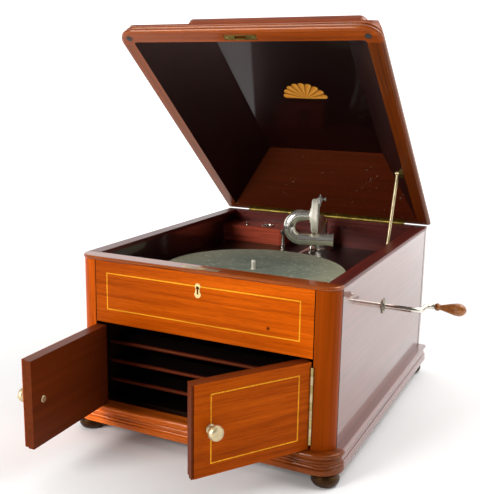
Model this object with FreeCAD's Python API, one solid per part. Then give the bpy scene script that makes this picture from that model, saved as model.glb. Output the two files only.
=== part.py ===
import FreeCAD, Part
import math
import os
from FreeCAD import Vector as V

os.makedirs("parts", exist_ok=True)

# Case: width and depth over the boards, height from plinth top to rim top.
case_width = 418.0
case_depth = 518.0
case_height = 235.0
corner_radius = 22.5
post_face = 30.5
side_board = 14.0
back_board = 12.0
front_board = 19.0
base_thickness = 10.0
rim_height = 6.0
rim_nose = 2.0
rim_ease = 1.5
rim_front_width = 27.0
rim_side_width = 22.5
rim_back_width = 16.0

# Plinth and feet. Drops are measured down from the plinth's top.
plinth_height = 30.0
plinth_projection = 13.0
plinth_wall = 10.0
plinth_rail = 14.0
plinth_fillet = 7.0
plinth_bead = 3.7
plinth_cove = 3.4
plinth_cove_drop = 11.9
plinth_torus = 2.2
plinth_torus_drop = 19.4
foot_height = 20.0
foot_radius = 20.5
foot_margin = 2.5

# Upper front panel, its inlaid line and the lid lock.
panel_height = 96.5
line_width = 1.9
line_depth = 1.2
line_side_inset = 20.0
line_top_inset = 17.5
line_bottom_inset = 21.0
key_drop = 6.0
key_eye = 2.7
key_slot = 1.4
key_plate_depth = 1.5
key_plate_proud = 0.5
key_plate_top = 4.6
key_plate_foot = 5.2
key_plate_waist = 3.3
key_plate_rise = 5.0
key_plate_fall = 7.0
lock_y = 8.0
lock_half = 25.7
lock_thickness = 8.4
lock_depth = 34.0
selvedge_half = 30.0
selvedge_width = 11.0
brass_plate = 1.2
bolt_half = 6.6
bolt_thickness = 3.8
bolt_length = 26.7
bolt_sunk = 0.8
lock_slack = 0.3

# Doors.
door_thickness = 17.5
door_gap = 0.8
door_head_gap = 4.0
door_floor_gap = 1.2
door_lip = 2.4
door_lip_face = 1.0
door_lip_depth = 6.5
door_lip_slack = 0.6
door_line_inset = 19.0
door_line_foot = 16.0
door_line_head = 15.3
door_open_left = 88.5
door_open_right = 56.0
door_pin_radius = 1.1
door_pin_proud = 1.4
door_knuckle_radius = 2.4
door_knuckles = 9
door_hinge_margin = 7.0
door_leaf = 0.9
door_leaf_depth = 12.0
knob_radius = 10.5
knob_length = 22.0
knob_screw = 2.5
knob_base = 5.8
knob_drop = 62.0
knob_edge_inset = 24.0
catch_x = 12.0
catch_drop = 9.0
catch_outer = 3.4
catch_bore = 2.3

# Motor board, turntable and spindle.
board_thickness = 12.0
board_gap = 0.6
bearer_width = 10.0
bearer_height = 14.0
bearer_setback = 40.0
spindle_place = 187.5
platter_radius = 152.4
record_drop = 38.5
felt_thickness = 2.0
felt_inset = 0.6
platter_web = 3.5
platter_wall = 3.0
platter_rim_depth = 9.0
platter_hub = 14.0
platter_hub_depth = 5.5
platter_lift = 7.0
spindle_radius = 3.6
spindle_free_height = 13.0
shaft_radius = 4.5
shaft_room = 8.0
running_clearance = 0.05

# Controls and needle block on the board, set out from the rear wall and the left wall.
speed_x = -58.0
speed_setback = 68.0
speed_stem = 2.6
speed_post = 3.2
speed_post_height = 25.0
speed_cap = 5.6
speed_cap_height = 10.0
brake_x = 8.4
brake_setback = 86.0
brake_stem = 2.0
brake_pad = 5.5
control_slack = 0.35
block_length = 135.0
block_depth = 60.0
block_height = 32.0
block_corner = 12.0
cup_reach = 89.0
cup_setback = 36.0
cup_radius = 11.0
cup_depth = 13.8
stud_reach = 49.0
stud_setback = 48.0
stud_radius = 2.0
stud_depth = 9.0
block_slack = 0.3

# Horn, its elbow and its louvres.
horn_board = 5.0
horn_mouth_inset = 6.0
horn_mouth_floor = 4.0
horn_mouth_head = 5.0
horn_motor_gap = 1.8
horn_throat_width = 56.0
horn_throat_height = 42.0
horn_throat_floor = 4.0
lining_thickness = 2.4
lining_slack = 0.6
elbow_outer = 24.0
elbow_wall = 2.5
elbow_bend = 48.0
elbow_plate = 2.0
elbow_top_outer = 16.0
elbow_top_bore = 13.0
louvre_thickness = 6.0
louvre_tail = 3.2
louvre_depth = 34.0
louvre_count = 3
louvre_floor_gap = 25.0
louvre_head_gap = 35.5
louvre_tilt = 14.0
louvre_setback = 24.0

# Lid.
lid_open = 39.5
lid_overhang = 6.0
lid_front_overhang = 7.5
lid_edge_height = 20.0
lid_edge_step = 6.0
lid_lower_bead = 4.2
lid_upper_bead = 3.6
lid_bead_drop = 0.4
lid_side_rail = 24.0
lid_back_rail = 16.5
lid_hollow_depth = 96.0
lid_top_thickness = 8.0
lid_raise = 20.0
lid_top_corner = 12.0
lid_top_ease = 3.0
lid_slope_run = 74.0
lid_outer_side_run = 53.0
lid_outer_front_run = 80.0
lid_outer_back_run = 58.0
lid_seat_gap = 0.6
lid_pin_radius = 1.5
lid_pin_setback = 1.5
lid_knuckle_radius = 3.0
lid_knuckles = 15
lid_hinge_length = 330.0
lid_leaf = 1.0
lid_leaf_depth = 11.8
hinge_slack = 0.4
leaf_slack = 0.2
strike_half = 27.0
strike_width = 11.0
strike_slot_half = 9.0
strike_slot_width = 5.2
strike_pocket_depth = 12.0
bumper_radius = 5.0
bumper_depth = 2.0
bumper_inset = 20.0
bumper_place = 15.5
motif_x = 6.0
motif_setback = 159.5
motif_radius = 36.0
motif_depth = 0.6
motif_petals = 9

# Winding crank, set out from the spindle and the motor's upper plate.
crank_setback = 43.5
crank_drop = 7.0
crank_radius = 4.3
crank_reach = 58.0
crank_throw = 56.0
crank_angle = -6.0
crank_bend = 12.0
crank_sleeve = 2.2
crank_plate_radius = 9.0
crank_plate_thickness = 1.6
crank_collar_radius = 7.0
crank_collar_height = 3.4
crank_petal = 4.4
crank_petal_ring = 8.2
crank_axle = 2.6
handle_length = 50.0
handle_radius = 10.5
handle_gap = 0.4

# Sound arm: swings about its pillar, carries a gooseneck on a cross tube.
arm_pivot_x = 17.5
arm_setback = 53.0
arm_length = 206.7
arm_heading = -72.4
arm_rise = 61.5
arm_radius = 8.5
arm_bend = 22.0
arm_bore = 7.5
column_radius = 10.2
collar_radius = 14.0
collar_height = 3.0
collar_gap = 0.4
base_radius = 24.0
base_height = 29.0
cross_radius = 10.0
cross_half_length = 27.0
cross_band = 0.8
neck_joint = -10.5
neck_bend = 20.0
neck_gap = 0.4
neck_nose = 8.0
spigot_radius = 6.0
spigot_length = 12.0
soundbox_back = -13.0
soundbox_radius = 28.5
soundbox_thickness = 13.0
soundbox_wall = 3.0
soundbox_flange = 1.2
flange_depth = 3.4
diaphragm_thickness = 0.7
needle_lean = 25.0
needle_radius = 0.8
needle_holder = 3.2
needle_holder_length = 9.0

# Lid stay: a rod on the lid that slides through a slotted eye on the case wall.
stay_inset = 19.0
stay_radius = 2.6
stay_tail = 12.0
stay_eye = 4.2
stay_pin = 1.8
ball_setback = 116.0
ball_rise = 109.0
guide_setback = 168.0
guide_drop = 43.0
guide_thickness = 4.0
guide_wall = 3.0
guide_slot_front = 5.0
guide_slot_back = 9.0
stay_slack = 1.0
board_slot_front = 15.5
board_slot_back = 9.0

# Spring motor under the board.
gear_module = 1.5
barrel_teeth = 84
pinion_teeth = 17
wheel_thickness = 3.0
wheel_gap = 2.0
barrel_radius = 36.0
barrel_height = 17.0
barrel_wall = 1.6
arbor_radius = 5.0
pivot_radius = 3.0
spring_turns = 7
spring_ribbon = 0.9
spring_gap = 0.3
plate_thickness = 3.0
plate_left = 72.0
plate_right = 132.0
plate_front = 40.0
plate_back = 56.0
motor_hang = 7.5
motor_depth = 49.0
pillar_radius = 5.0
pillar_inset = 8.0
hanger_radius = 7.0
governor_rise = 22.0
governor_reach = 20.8
governor_left = 62.0
governor_right = 24.0
governor_shaft = 1.6
governor_weight = 5.5
governor_weights = 3
worm_radius = 3.6
worm_teeth = 24
worm_module = 1.25
bevel_module = 2.0
bevel_pinion_teeth = 12
bevel_wheel_teeth = 24

# Places of the case.
half_width = case_width / 2
inner_half = half_width - side_board
post_inner = half_width - post_face
rim_bottom = case_height - rim_height
panel_bottom = rim_bottom - panel_height
inner_back = case_depth - back_board
record_plane = case_height - record_drop
board_top = record_plane - felt_thickness - platter_rim_depth - platter_lift
board_bottom = board_top - board_thickness
key_height = rim_bottom - line_top_inset - key_drop
foot_bottom = -plinth_height - foot_height
foot_inset = foot_radius + foot_margin
foot_x = half_width + plinth_projection - foot_inset
foot_front_y = foot_inset - plinth_projection
foot_back_y = case_depth - foot_inset
ground_shift = V(0, -spindle_place, -record_plane)

# Places of the doors.
door_low = door_floor_gap
door_high = panel_bottom - door_head_gap
door_pin = V(post_inner - door_gap / 2, -door_pin_proud, 0)
door_hinge_low = door_low + door_hinge_margin
door_hinge_length = door_high - door_hinge_margin - door_hinge_low
knob_height = door_high - knob_drop
catch_place = V(catch_x, door_thickness / 2, 0)

# Places on the board.
arm_pivot_y = case_depth - arm_setback
arm_axis_height = board_top + arm_rise
soundbox_height = arm_axis_height + 2 * neck_bend
speed_y = case_depth - speed_setback
brake_y = case_depth - brake_setback
block_front = case_depth - block_depth
block_right = -inner_half + block_length
block_top = board_top + block_height
cup_place = V(-inner_half + cup_reach, case_depth - cup_setback, block_top)
stud_place = V(-inner_half + stud_reach, case_depth - stud_setback, block_top)

# Places of the horn, whose top board passes under the motor.
motor_top = board_bottom - motor_hang
motor_floor = motor_top - motor_depth
horn_front = door_thickness + lining_slack + lining_thickness
horn_throat_place = arm_pivot_y - elbow_bend - elbow_plate
mouth_half = post_inner - horn_mouth_inset
throat_left = arm_pivot_x - horn_throat_width / 2
throat_right = arm_pivot_x + horn_throat_width / 2
throat_top = horn_throat_floor + horn_throat_height
motor_share = (spindle_place - plate_front - horn_front) / (horn_throat_place - horn_front)
motor_room = motor_floor - horn_motor_gap - horn_board
mouth_under_motor = (motor_room - throat_top * motor_share) / (1 - motor_share)
mouth_top = min(panel_bottom - horn_mouth_head, mouth_under_motor)
louvre_first = horn_mouth_floor + louvre_floor_gap
louvre_pitch = (mouth_top - louvre_head_gap - louvre_first) / (louvre_count - 1)

# Places of the lid, shut.
lid_half = half_width + lid_overhang
lid_inner_half = lid_half - lid_side_rail
lid_front_y = -lid_front_overhang
lid_low = case_height + lid_seat_gap
lid_deck = lid_low + lid_edge_height
lid_crown = lid_low + lid_hollow_depth
lid_peak = lid_crown + lid_top_thickness
lid_foot = lid_peak - lid_raise
lid_radius = corner_radius + lid_overhang
lid_pin = V(0, case_depth + lid_pin_setback, case_height + lid_seat_gap / 2)
lid_shoulder = lid_half - lid_edge_step
hollow_front = lid_front_y + lid_side_rail
hollow_back = case_depth - lid_back_rail
deep_half = lid_inner_half - lid_slope_run
deep_front = hollow_front + lid_slope_run
deep_back = hollow_back - lid_slope_run
top_half = half_width - lid_outer_side_run
top_front = lid_front_y + lid_outer_front_run
top_back = case_depth - lid_outer_back_run
stay_x = inner_half - stay_inset
ball_centre = V(stay_x, case_depth - ball_setback, case_height + ball_rise)
guide_centre = V(stay_x, case_depth - guide_setback, case_height - guide_drop)

# Places of the motor and the crank.
governor_height = motor_floor + governor_rise
governor_y = spindle_place - governor_reach
crank_place_y = spindle_place + crank_setback
crank_place_z = motor_top - crank_drop
centre_gap = gear_module * (barrel_teeth + pinion_teeth) / 2
barrel_y = crank_place_y
barrel_x = math.sqrt(centre_gap ** 2 - crank_setback ** 2)
mesh_angle = math.degrees(math.atan2(crank_setback, barrel_x))
wheel_floor = motor_floor + plate_thickness + wheel_gap
barrel_floor = wheel_floor + wheel_thickness
crank_axis = V(0, crank_place_y, crank_place_z)
crank_way = V(0, math.cos(math.radians(crank_angle)), math.sin(math.radians(crank_angle)))
grip_start = half_width + crank_reach + crank_bend
handle_axis = crank_axis + crank_way * crank_throw

X_AXIS = V(1, 0, 0)
Y_AXIS = V(0, 1, 0)
Z_AXIS = V(0, 0, 1)


def save(name, shape):
    """Write one piece in the shared frame, whose origin is the record seat."""
    moved = shape.copy()
    moved.translate(ground_shift)
    moved.exportStep("parts/" + name + ".step")


def box(x0, x1, y0, y1, z0, z1):
    """A block between two opposite corners."""
    return Part.makeBox(x1 - x0, y1 - y0, z1 - z0, V(x0, y0, z0))


def rod(radius, length, start, direction=Z_AXIS):
    """A plain cylinder."""
    return Part.makeCylinder(radius, length, start, direction)


def tube(outer, inner, length, start, direction=Z_AXIS):
    """A cylinder with a hole through it."""
    return rod(outer, length, start, direction).cut(rod(inner, length, start, direction))


def face_of(points):
    """A flat face through a closed run of points."""
    return Part.Face(Part.makePolygon(points + [points[0]]))


def prism(points, travel):
    """A straight extrusion of a flat outline."""
    return face_of(points).extrude(travel)


def turning(profile, centre, direction=Z_AXIS):
    """A turned piece: profile pairs are radius and distance along the axis."""
    points = [V(r, 0, h) for r, h in profile]
    solid = face_of(points).revolve(V(0, 0, 0), Z_AXIS, 360)
    spin = FreeCAD.Rotation(Z_AXIS, direction)
    solid.Placement = FreeCAD.Placement(centre, spin)
    return solid


def turned(shape, centre, axis, degrees):
    """A copy of a shape turned about a line."""
    copy = shape.copy()
    copy.rotate(centre, axis, degrees)
    return copy


def mirrored(shape):
    """The same piece on the other side of the middle plane."""
    return shape.mirror(V(0, 0, 0), X_AXIS)


def joined(shapes):
    """One solid from touching shapes."""
    solids = [solid for shape in shapes for solid in shape.Solids]
    whole = solids[0]
    if len(solids) > 1:
        whole = solids[0].multiFuse(solids[1:])
    whole = whole.removeSplitter()
    return whole.Solids[0] if len(whole.Solids) == 1 else whole


def group(shapes):
    """Separate solids kept in one piece of the list."""
    return Part.makeCompound(shapes)


def arc_points(cx, cy, radius, start, end, count):
    """Points along a round, for moulded outlines."""
    step = (end - start) / count
    angles = [math.radians(start + step * i) for i in range(count + 1)]
    return [(cx + radius * math.cos(a), cy + radius * math.sin(a)) for a in angles]


def corner_run(profile, half, radius):
    """A moulding along the front and round both front corners.

    Profile pairs are outward offset from the case face and height.
    """
    straight = [V(-half + radius, -d, z) for d, z in profile]
    front = prism(straight, V(2 * (half - radius), 0, 0))
    section = [V(-half + radius, radius - (radius + d), z) for d, z in profile]
    left = face_of(section).revolve(V(-half + radius, radius, 0), Z_AXIS, -90)
    return joined([front, left, mirrored(left)])


def side_run(profile, half, y0, y1):
    """The same moulding along the left side."""
    section = [V(-half - d, y0, z) for d, z in profile]
    return prism(section, V(0, y1 - y0, 0))


def rounded_slab(half, y_front, y_back, radius, z0, z1):
    """A board with two rounded front corners."""
    wide = box(-half, half, y_front + radius, y_back, z0, z1)
    deep = box(-half + radius, half - radius, y_front, y_back, z0, z1)
    ends = [rod(radius, z1 - z0, V(s * (half - radius), y_front + radius, z0)) for s in (-1, 1)]
    return joined([wide, deep] + ends)


def corner_post():
    """Left front post with a rounded outer corner."""
    inner = box(-half_width + corner_radius, -post_inner, 0, corner_radius, 0, rim_bottom)
    centre = V(-half_width + corner_radius, corner_radius, 0)
    round_part = Part.makeCylinder(corner_radius, rim_bottom, centre, Z_AXIS, 90)
    round_part.rotate(centre, Z_AXIS, 180)
    return joined([inner, round_part])


def side_panel():
    """Left side board."""
    return box(-half_width, -inner_half, corner_radius, case_depth, 0, rim_bottom)


def side_panel_right():
    """Right side board with the hole for the winding shaft."""
    board = mirrored(side_panel())
    return board.cut(rod(crank_radius + crank_sleeve, side_board, crank_axis + X_AXIS * inner_half, X_AXIS))


def ring_frame(x0, x1, z0, z1, width, y0, depth):
    """A flat rectangular ring, for inlaid lines and their grooves."""
    outer = box(x0, x1, y0, y0 + depth, z0, z1)
    return outer.cut(box(x0 + width, x1 - width, y0, y0 + depth, z0 + width, z1 - width))


def front_line():
    """The inlaid line of the upper front panel."""
    reach = post_inner - line_side_inset
    low = panel_bottom + line_bottom_inset
    return ring_frame(-reach, reach, low, rim_bottom - line_top_inset, line_width, 0, line_depth)


def keyhole(depth, slack):
    """The key's opening: a round eye over a slot."""
    eye_height = key_height + key_eye
    eye = rod(key_eye + slack, depth, V(0, -key_plate_proud, eye_height), Y_AXIS)
    half = key_slot + slack
    foot = key_height - key_plate_fall - slack
    slot = box(-half, half, -key_plate_proud, depth - key_plate_proud, foot, eye_height)
    return joined([eye, slot])


def key_outline(front, back):
    """The escutcheon's outline, wide above and below, between two depths."""
    thick = back - front
    return joined([
        rod(key_plate_top, thick, V(0, front, key_height + key_plate_rise), Y_AXIS),
        rod(key_plate_foot, thick, V(0, front, key_height - key_plate_fall), Y_AXIS),
        box(-key_plate_waist, key_plate_waist, front, back,
            key_height - key_plate_fall, key_height + key_plate_rise),
    ])


def key_plate():
    """Keyhole escutcheon: a brass plate let into the panel."""
    return key_outline(-key_plate_proud, key_plate_depth).cut(keyhole(front_board, 0))


def front_panel():
    """Upper front panel with its groove, lock mortise and keyhole."""
    board = box(-post_inner, post_inner, 0, front_board, panel_bottom, rim_bottom)
    half = lock_half + lock_slack
    deep = lock_thickness / 2 + lock_slack
    mortise = box(-half, half, lock_y - deep, lock_y + deep, rim_bottom - lock_depth, rim_bottom)
    cuts = [front_line(), key_outline(0, key_plate_depth), keyhole(front_board + 2, leaf_slack), mortise]
    for cut in cuts:
        board = board.cut(cut)
    return board


def inlaid_line():
    """Boxwood line, cut where the escutcheon lies over it."""
    return front_line().cut(key_outline(0, key_plate_depth))


def lock_case():
    """Box lock let in behind the front panel, with a slot for its bolt."""
    deep = lock_thickness / 2
    body = box(-lock_half, lock_half, lock_y - deep, lock_y + deep, rim_bottom - lock_depth, rim_bottom)
    half = bolt_half + lock_slack
    reach = bolt_thickness / 2 + lock_slack
    foot = case_height - bolt_sunk - bolt_length - lock_slack
    slot = box(-half, half, lock_y - reach, lock_y + reach, foot, rim_bottom)
    hole = rod(key_eye + lock_slack, lock_thickness, V(0, lock_y - deep, key_height + key_eye), Y_AXIS)
    return body.cut(slot).cut(hole)


def selvedge_block(low, high):
    """The lock strip's outline in the rim."""
    reach = selvedge_width / 2
    return box(-selvedge_half, selvedge_half, lock_y - reach, lock_y + reach, low, high)


def bolt_way(slack):
    """The bolt's passage through strip and rim."""
    half = bolt_half + slack
    reach = bolt_thickness / 2 + slack
    return box(-half, half, lock_y - reach, lock_y + reach, rim_bottom, case_height)


def lock_selvedge():
    """Brass strip over the lock in the rim, with the bolt's slot."""
    return selvedge_block(case_height - brass_plate, case_height).cut(bolt_way(2 * lock_slack))


def lock_bolt():
    """Sliding bolt of the lid lock, at rest below the rim, with a hooked head."""
    top = case_height - bolt_sunk
    reach = bolt_thickness / 2
    stem = box(-bolt_half, bolt_half, lock_y - reach, lock_y + reach, top - bolt_length, top)
    window = box(-bolt_half / 2, bolt_half / 2, lock_y - reach, lock_y + reach, top - 3.5, top - brass_plate)
    return stem.cut(window)


def rim_profile(width):
    """Rounded cap section: outward offset and height."""
    round_half = rim_height / 2
    nose = arc_points(rim_nose - round_half, rim_bottom + round_half, round_half, -90, 90, 8)
    inner = [(-width + rim_ease, case_height), (-width, case_height - rim_ease)]
    return [(-width, rim_bottom)] + nose + inner


def rim_front():
    """Front rim strip with both rounded corners."""
    reach = half_width - corner_radius
    strip = prism([V(-reach, -d, z) for d, z in rim_profile(rim_front_width)], V(2 * reach, 0, 0))
    flat = rim_profile(corner_radius)[:-2] + [(-corner_radius, case_height)]
    section = [V(-reach, -d, z) for d, z in flat]
    left = face_of(section).revolve(V(-reach, corner_radius, 0), Z_AXIS, -90)
    whole = joined([strip, left, mirrored(left)])
    whole = whole.cut(selvedge_block(case_height - brass_plate, case_height))
    return whole.cut(bolt_way(3 * lock_slack))


def rim_side():
    """Left rim strip."""
    return side_run(rim_profile(rim_side_width), half_width, corner_radius, case_depth - rim_back_width)


def rim_back():
    """Rear rim strip, rebated for the lid hinge leaf."""
    strip = box(-half_width, half_width, case_depth - rim_back_width, case_depth, rim_bottom, case_height)
    return strip.cut(leaf_rebate(case_height - lid_leaf, case_height)).cut(hinge_groove())


def leaf_rebate(low, high):
    """Shallow rebate that takes a leaf of the lid hinge."""
    reach = lid_hinge_length / 2 + leaf_slack
    return box(-reach, reach, case_depth - lid_leaf_depth - leaf_slack, case_depth, low, high)


def plinth_profile():
    """Moulded plinth section: outward offset and height."""
    out = plinth_projection
    step = out - plinth_torus - leaf_slack
    shoulder = plinth_fillet - plinth_height
    return ([(-plinth_wall, -plinth_height), (out, -plinth_height), (out, shoulder)]
            + [(out - brass_plate, shoulder + brass_plate)]
            + arc_points(step, -plinth_torus_drop, plinth_torus, -80, 90, 7)
            + arc_points(out - 0.6, -plinth_cove_drop, plinth_cove, 230, 130, 6)
            + arc_points(out - plinth_cove, -plinth_bead, plinth_bead, -90, 90, 8)
            + [(-plinth_wall, 0)])


def plinth_front():
    """Moulded plinth across the front and round the corners."""
    return corner_run(plinth_profile(), half_width, corner_radius).cut(catch_holes())


def plinth_side():
    """Moulded plinth along the left side."""
    return side_run(plinth_profile(), half_width, corner_radius, case_depth)


def plinth_back():
    """Plain rear rail of the plinth."""
    reach = half_width - plinth_wall
    return box(-reach, reach, case_depth - plinth_rail, case_depth, -plinth_height, -base_thickness)


def foot():
    """A turned bun foot standing on its flat."""
    r = foot_radius
    h = foot_height
    neck = r - 6
    profile = [(0, 0), (r - 6.5, 0), (r - 3, 2), (r - 0.5, 6), (r, h / 2), (r - 1, h - 6),
               (r - 4, h - 2.5), (neck, h - 1.5), (neck, h), (0, h)]
    return turning(profile, V(0, 0, foot_bottom))


def base_board():
    """Bottom board inside the plinth."""
    slab = rounded_slab(half_width - plinth_wall, plinth_wall, case_depth,
                        corner_radius - plinth_wall, -base_thickness, 0)
    return slab.cut(catch_holes())


def feet():
    """Four turned bun feet."""
    places = [V(s * foot_x, y, 0) for s in (-1, 1) for y in (foot_front_y, foot_back_y)]
    return group([foot().translated(place) for place in places])


def board_hole(radius, x, y):
    """A hole through the motor board."""
    return rod(radius, board_thickness, V(x, y, board_bottom))


def motor_board():
    """Board that carries the motor and the sound arm."""
    reach = inner_half - board_gap
    board = box(-reach, reach, corner_radius + board_gap, inner_back - board_gap, board_bottom, board_top)
    half = stay_radius + 3 * stay_slack
    slot = box(stay_x - half, stay_x + half, guide_centre.y - board_slot_front,
               guide_centre.y + board_slot_back, board_bottom, board_top)
    cuts = [
        board_hole(shaft_radius + shaft_room, 0, spindle_place),
        board_hole(elbow_top_bore, arm_pivot_x, arm_pivot_y),
        board_hole(speed_stem + control_slack, speed_x, speed_y),
        board_hole(brake_stem + control_slack, brake_x, brake_y),
        slot,
    ]
    for cut in cuts:
        board = board.cut(cut)
    return board


def board_bearers():
    """Rails on the case sides under the motor board."""
    left = box(-inner_half, -inner_half + bearer_width, bearer_setback, inner_back,
               board_bottom - bearer_height, board_bottom)
    start = crank_axis + X_AXIS * (inner_half - bearer_width)
    passage = rod(crank_radius + crank_sleeve, bearer_width, start, X_AXIS)
    return group([left, mirrored(left).cut(passage)])


def speed_knob():
    """Tall turning post of the speed regulator with a rounded cap, its stem through the board."""
    r = speed_stem
    post = speed_post
    cap = speed_cap
    foot = -board_thickness - 4
    low = speed_post_height
    top = low + speed_cap_height
    stem = [(0, foot), (r, foot), (r, 0.4), (cap, 0.4), (cap, 2.0), (post + 0.4, 3.2)]
    crown = [(post, low), (cap - 0.6, low + 0.8), (cap, low + 2.4), (cap, top - 4), (cap - 2, top - 1), (0, top)]
    profile = stem + crown
    return turning(profile, V(speed_x, speed_y, board_top))


def brake():
    """Platter brake: a small flanged stem with a lever and pad to the platter edge."""
    r = brake_stem
    foot = -board_thickness - 4
    stem = turning([(0, foot), (r, foot), (r, 0.3), (6.5, 0.3), (6.5, 2.0), (2.6, 3.0), (2.6, 14),
                    (4.0, 15), (4.0, 17), (0, 18)], V(brake_x, brake_y, board_top))
    reach_y = spindle_place + platter_radius + brake_pad
    lever = box(brake_x - 3.5, brake_x + 3.5, reach_y, brake_y, board_top + 7.5, board_top + 9.5)
    pad = box(brake_x - 8, brake_x + 8, reach_y - brake_pad + 0.5, reach_y + 3, board_top + 6, board_top + 13)
    return joined([stem, lever, pad])


def wedge_board(front, rear):
    """A tapered board between two four-cornered outlines."""
    wires = [Part.makePolygon(corners + [corners[0]]) for corners in (front, rear)]
    return Part.makeLoft(wires, True, True)


def horn_outline(y, left, right, low, high):
    """Four corners of a horn section."""
    return [V(left, y, low), V(right, y, low), V(right, y, high), V(left, y, high)]


def horn_hollow():
    """The air space of the horn."""
    front = horn_outline(horn_front, -mouth_half, mouth_half, horn_mouth_floor, mouth_top)
    rear = horn_outline(horn_throat_place, throat_left, throat_right, horn_throat_floor, throat_top)
    return wedge_board(front, rear)


def horn_top():
    """Upper horn board."""
    t = horn_board
    front = horn_outline(horn_front, -mouth_half - t, mouth_half + t, mouth_top, mouth_top + t)
    rear = horn_outline(horn_throat_place, throat_left - t, throat_right + t, throat_top, throat_top + t)
    return wedge_board(front, rear)


def horn_floor():
    """Lower horn board, flat on the base board."""
    t = horn_board
    front = horn_outline(horn_front, -mouth_half - t, mouth_half + t, 0, horn_mouth_floor)
    rear = horn_outline(horn_throat_place, throat_left - t, throat_right + t, 0, horn_throat_floor)
    return wedge_board(front, rear)


def horn_cheek(sign):
    """Side board of the horn."""
    near = sign * mouth_half
    far = throat_right if sign > 0 else throat_left
    near_pair = sorted((near, near + sign * horn_board))
    far_pair = sorted((far, far + sign * horn_board))
    front = horn_outline(horn_front, *near_pair, horn_mouth_floor, mouth_top)
    rear = horn_outline(horn_throat_place, *far_pair, horn_throat_floor, throat_top)
    return wedge_board(front, rear)


def horn_elbow():
    """Cast elbow from the horn's throat up to the arm pillar."""
    middle = (horn_throat_floor + throat_top) / 2
    bend_y = arm_pivot_y - elbow_bend
    plate = box(throat_left - horn_board, throat_right + horn_board, horn_throat_place, bend_y,
                0, throat_top + horn_board)
    top = V(arm_pivot_x, arm_pivot_y, middle + elbow_bend)
    hub = V(arm_pivot_x, bend_y, middle + elbow_bend)
    rise = board_bottom - top.z
    bore = elbow_outer - elbow_wall
    centre = V(arm_pivot_x, bend_y, middle)
    rings = [Part.Wire(Part.makeCircle(r, centre, Y_AXIS)) for r in (elbow_outer, bore)]
    bend = Part.Face(rings).revolve(hub, X_AXIS, 90)
    riser = turning([(bore, 0), (elbow_outer, 0), (elbow_top_outer, rise), (elbow_top_bore, rise)], top)
    plate = plate.cut(rod(bore, elbow_plate, V(arm_pivot_x, horn_throat_place, middle), Y_AXIS))
    return joined([plate, bend, riser])


def louvres():
    """Slats across the horn mouth, fitted to its sloping cheeks."""
    half = louvre_thickness / 2
    tail = louvre_tail / 2
    outline = arc_points(half, 0, half, 90, 270, 8) + [(louvre_depth, -tail), (louvre_depth, tail)]
    slats = []
    for index in range(louvre_count):
        start = V(-half_width, louvre_setback, louvre_first + louvre_pitch * index)
        slat = prism([start + V(0, d, z) for d, z in outline], V(case_width, 0, 0))
        slat = turned(slat, start, X_AXIS, louvre_tilt)
        slats.append(slat.common(horn_hollow()).Solids[0])
    return group(slats)


def mouth_lining():
    """Lining strips between the doors and the horn."""
    reach = post_inner - 0.1
    front = horn_front - lining_thickness
    left = box(-reach, -mouth_half, front, horn_front, horn_mouth_floor, mouth_top)
    sill = box(-reach, reach, front, horn_front, 0, horn_mouth_floor)
    head = box(-reach, reach, front, horn_front, mouth_top, panel_bottom)
    return joined([left, mirrored(left), sill, head])


def needle_block():
    """Wood block in the rear corner that holds the needle cup."""
    left = -inner_half + block_slack
    back = inner_back - block_slack
    r = block_corner
    body = joined([
        box(left, block_right - r, block_front, back, board_top, block_top),
        box(block_right - r, block_right, block_front + r, back, board_top, block_top),
        rod(r, block_height, V(block_right - r, block_front + r, board_top)),
    ])
    well = rod(cup_radius, cup_depth + 0.2, cup_place - Z_AXIS * (cup_depth + 0.2))
    socket = rod(stud_radius, stud_depth + 1, stud_place - Z_AXIS * (stud_depth + 1))
    return body.cut(well).cut(socket)


def needle_cup():
    """Spun metal needle cup with a rolled lip."""
    r = cup_radius
    d = cup_depth
    profile = [(0, -d), (r - 1.6, -d), (r, 2.8 - d), (r, 0), (r + 2.2, 0), (r + 2.6, 0.8), (r + 2, 1.6),
               (r - 0.6, 1.6), (r - 1, 0), (r - 1, 3.2 - d), (r - 2.2, 1 - d), (0, 1 - d)]
    return turning(profile, cup_place)


def block_stud():
    """Small turned stud on the block."""
    r = stud_radius
    profile = [(0, -stud_depth), (r, -stud_depth), (r, 0), (4.5, 0), (4.5, 1.2), (2.6, 2.2), (3.6, 5),
               (2.4, 7), (0, 7.6)]
    return turning(profile, stud_place)


def gear(teeth, module, thickness, centre, phase):
    """Spur wheel with eased teeth."""
    pitch = teeth * module / 2
    step = 360.0 / teeth
    spots = [(-0.30, -1.05), (-0.13, 0.85), (0.13, 0.85), (0.30, -1.05)]
    points = []
    for index in range(teeth):
        for part, rise in spots:
            angle = math.radians(phase + step * (index + part))
            reach = pitch + rise * module
            points.append(centre + V(reach * math.cos(angle), reach * math.sin(angle), 0))
    return prism(points, V(0, 0, thickness))


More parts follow.
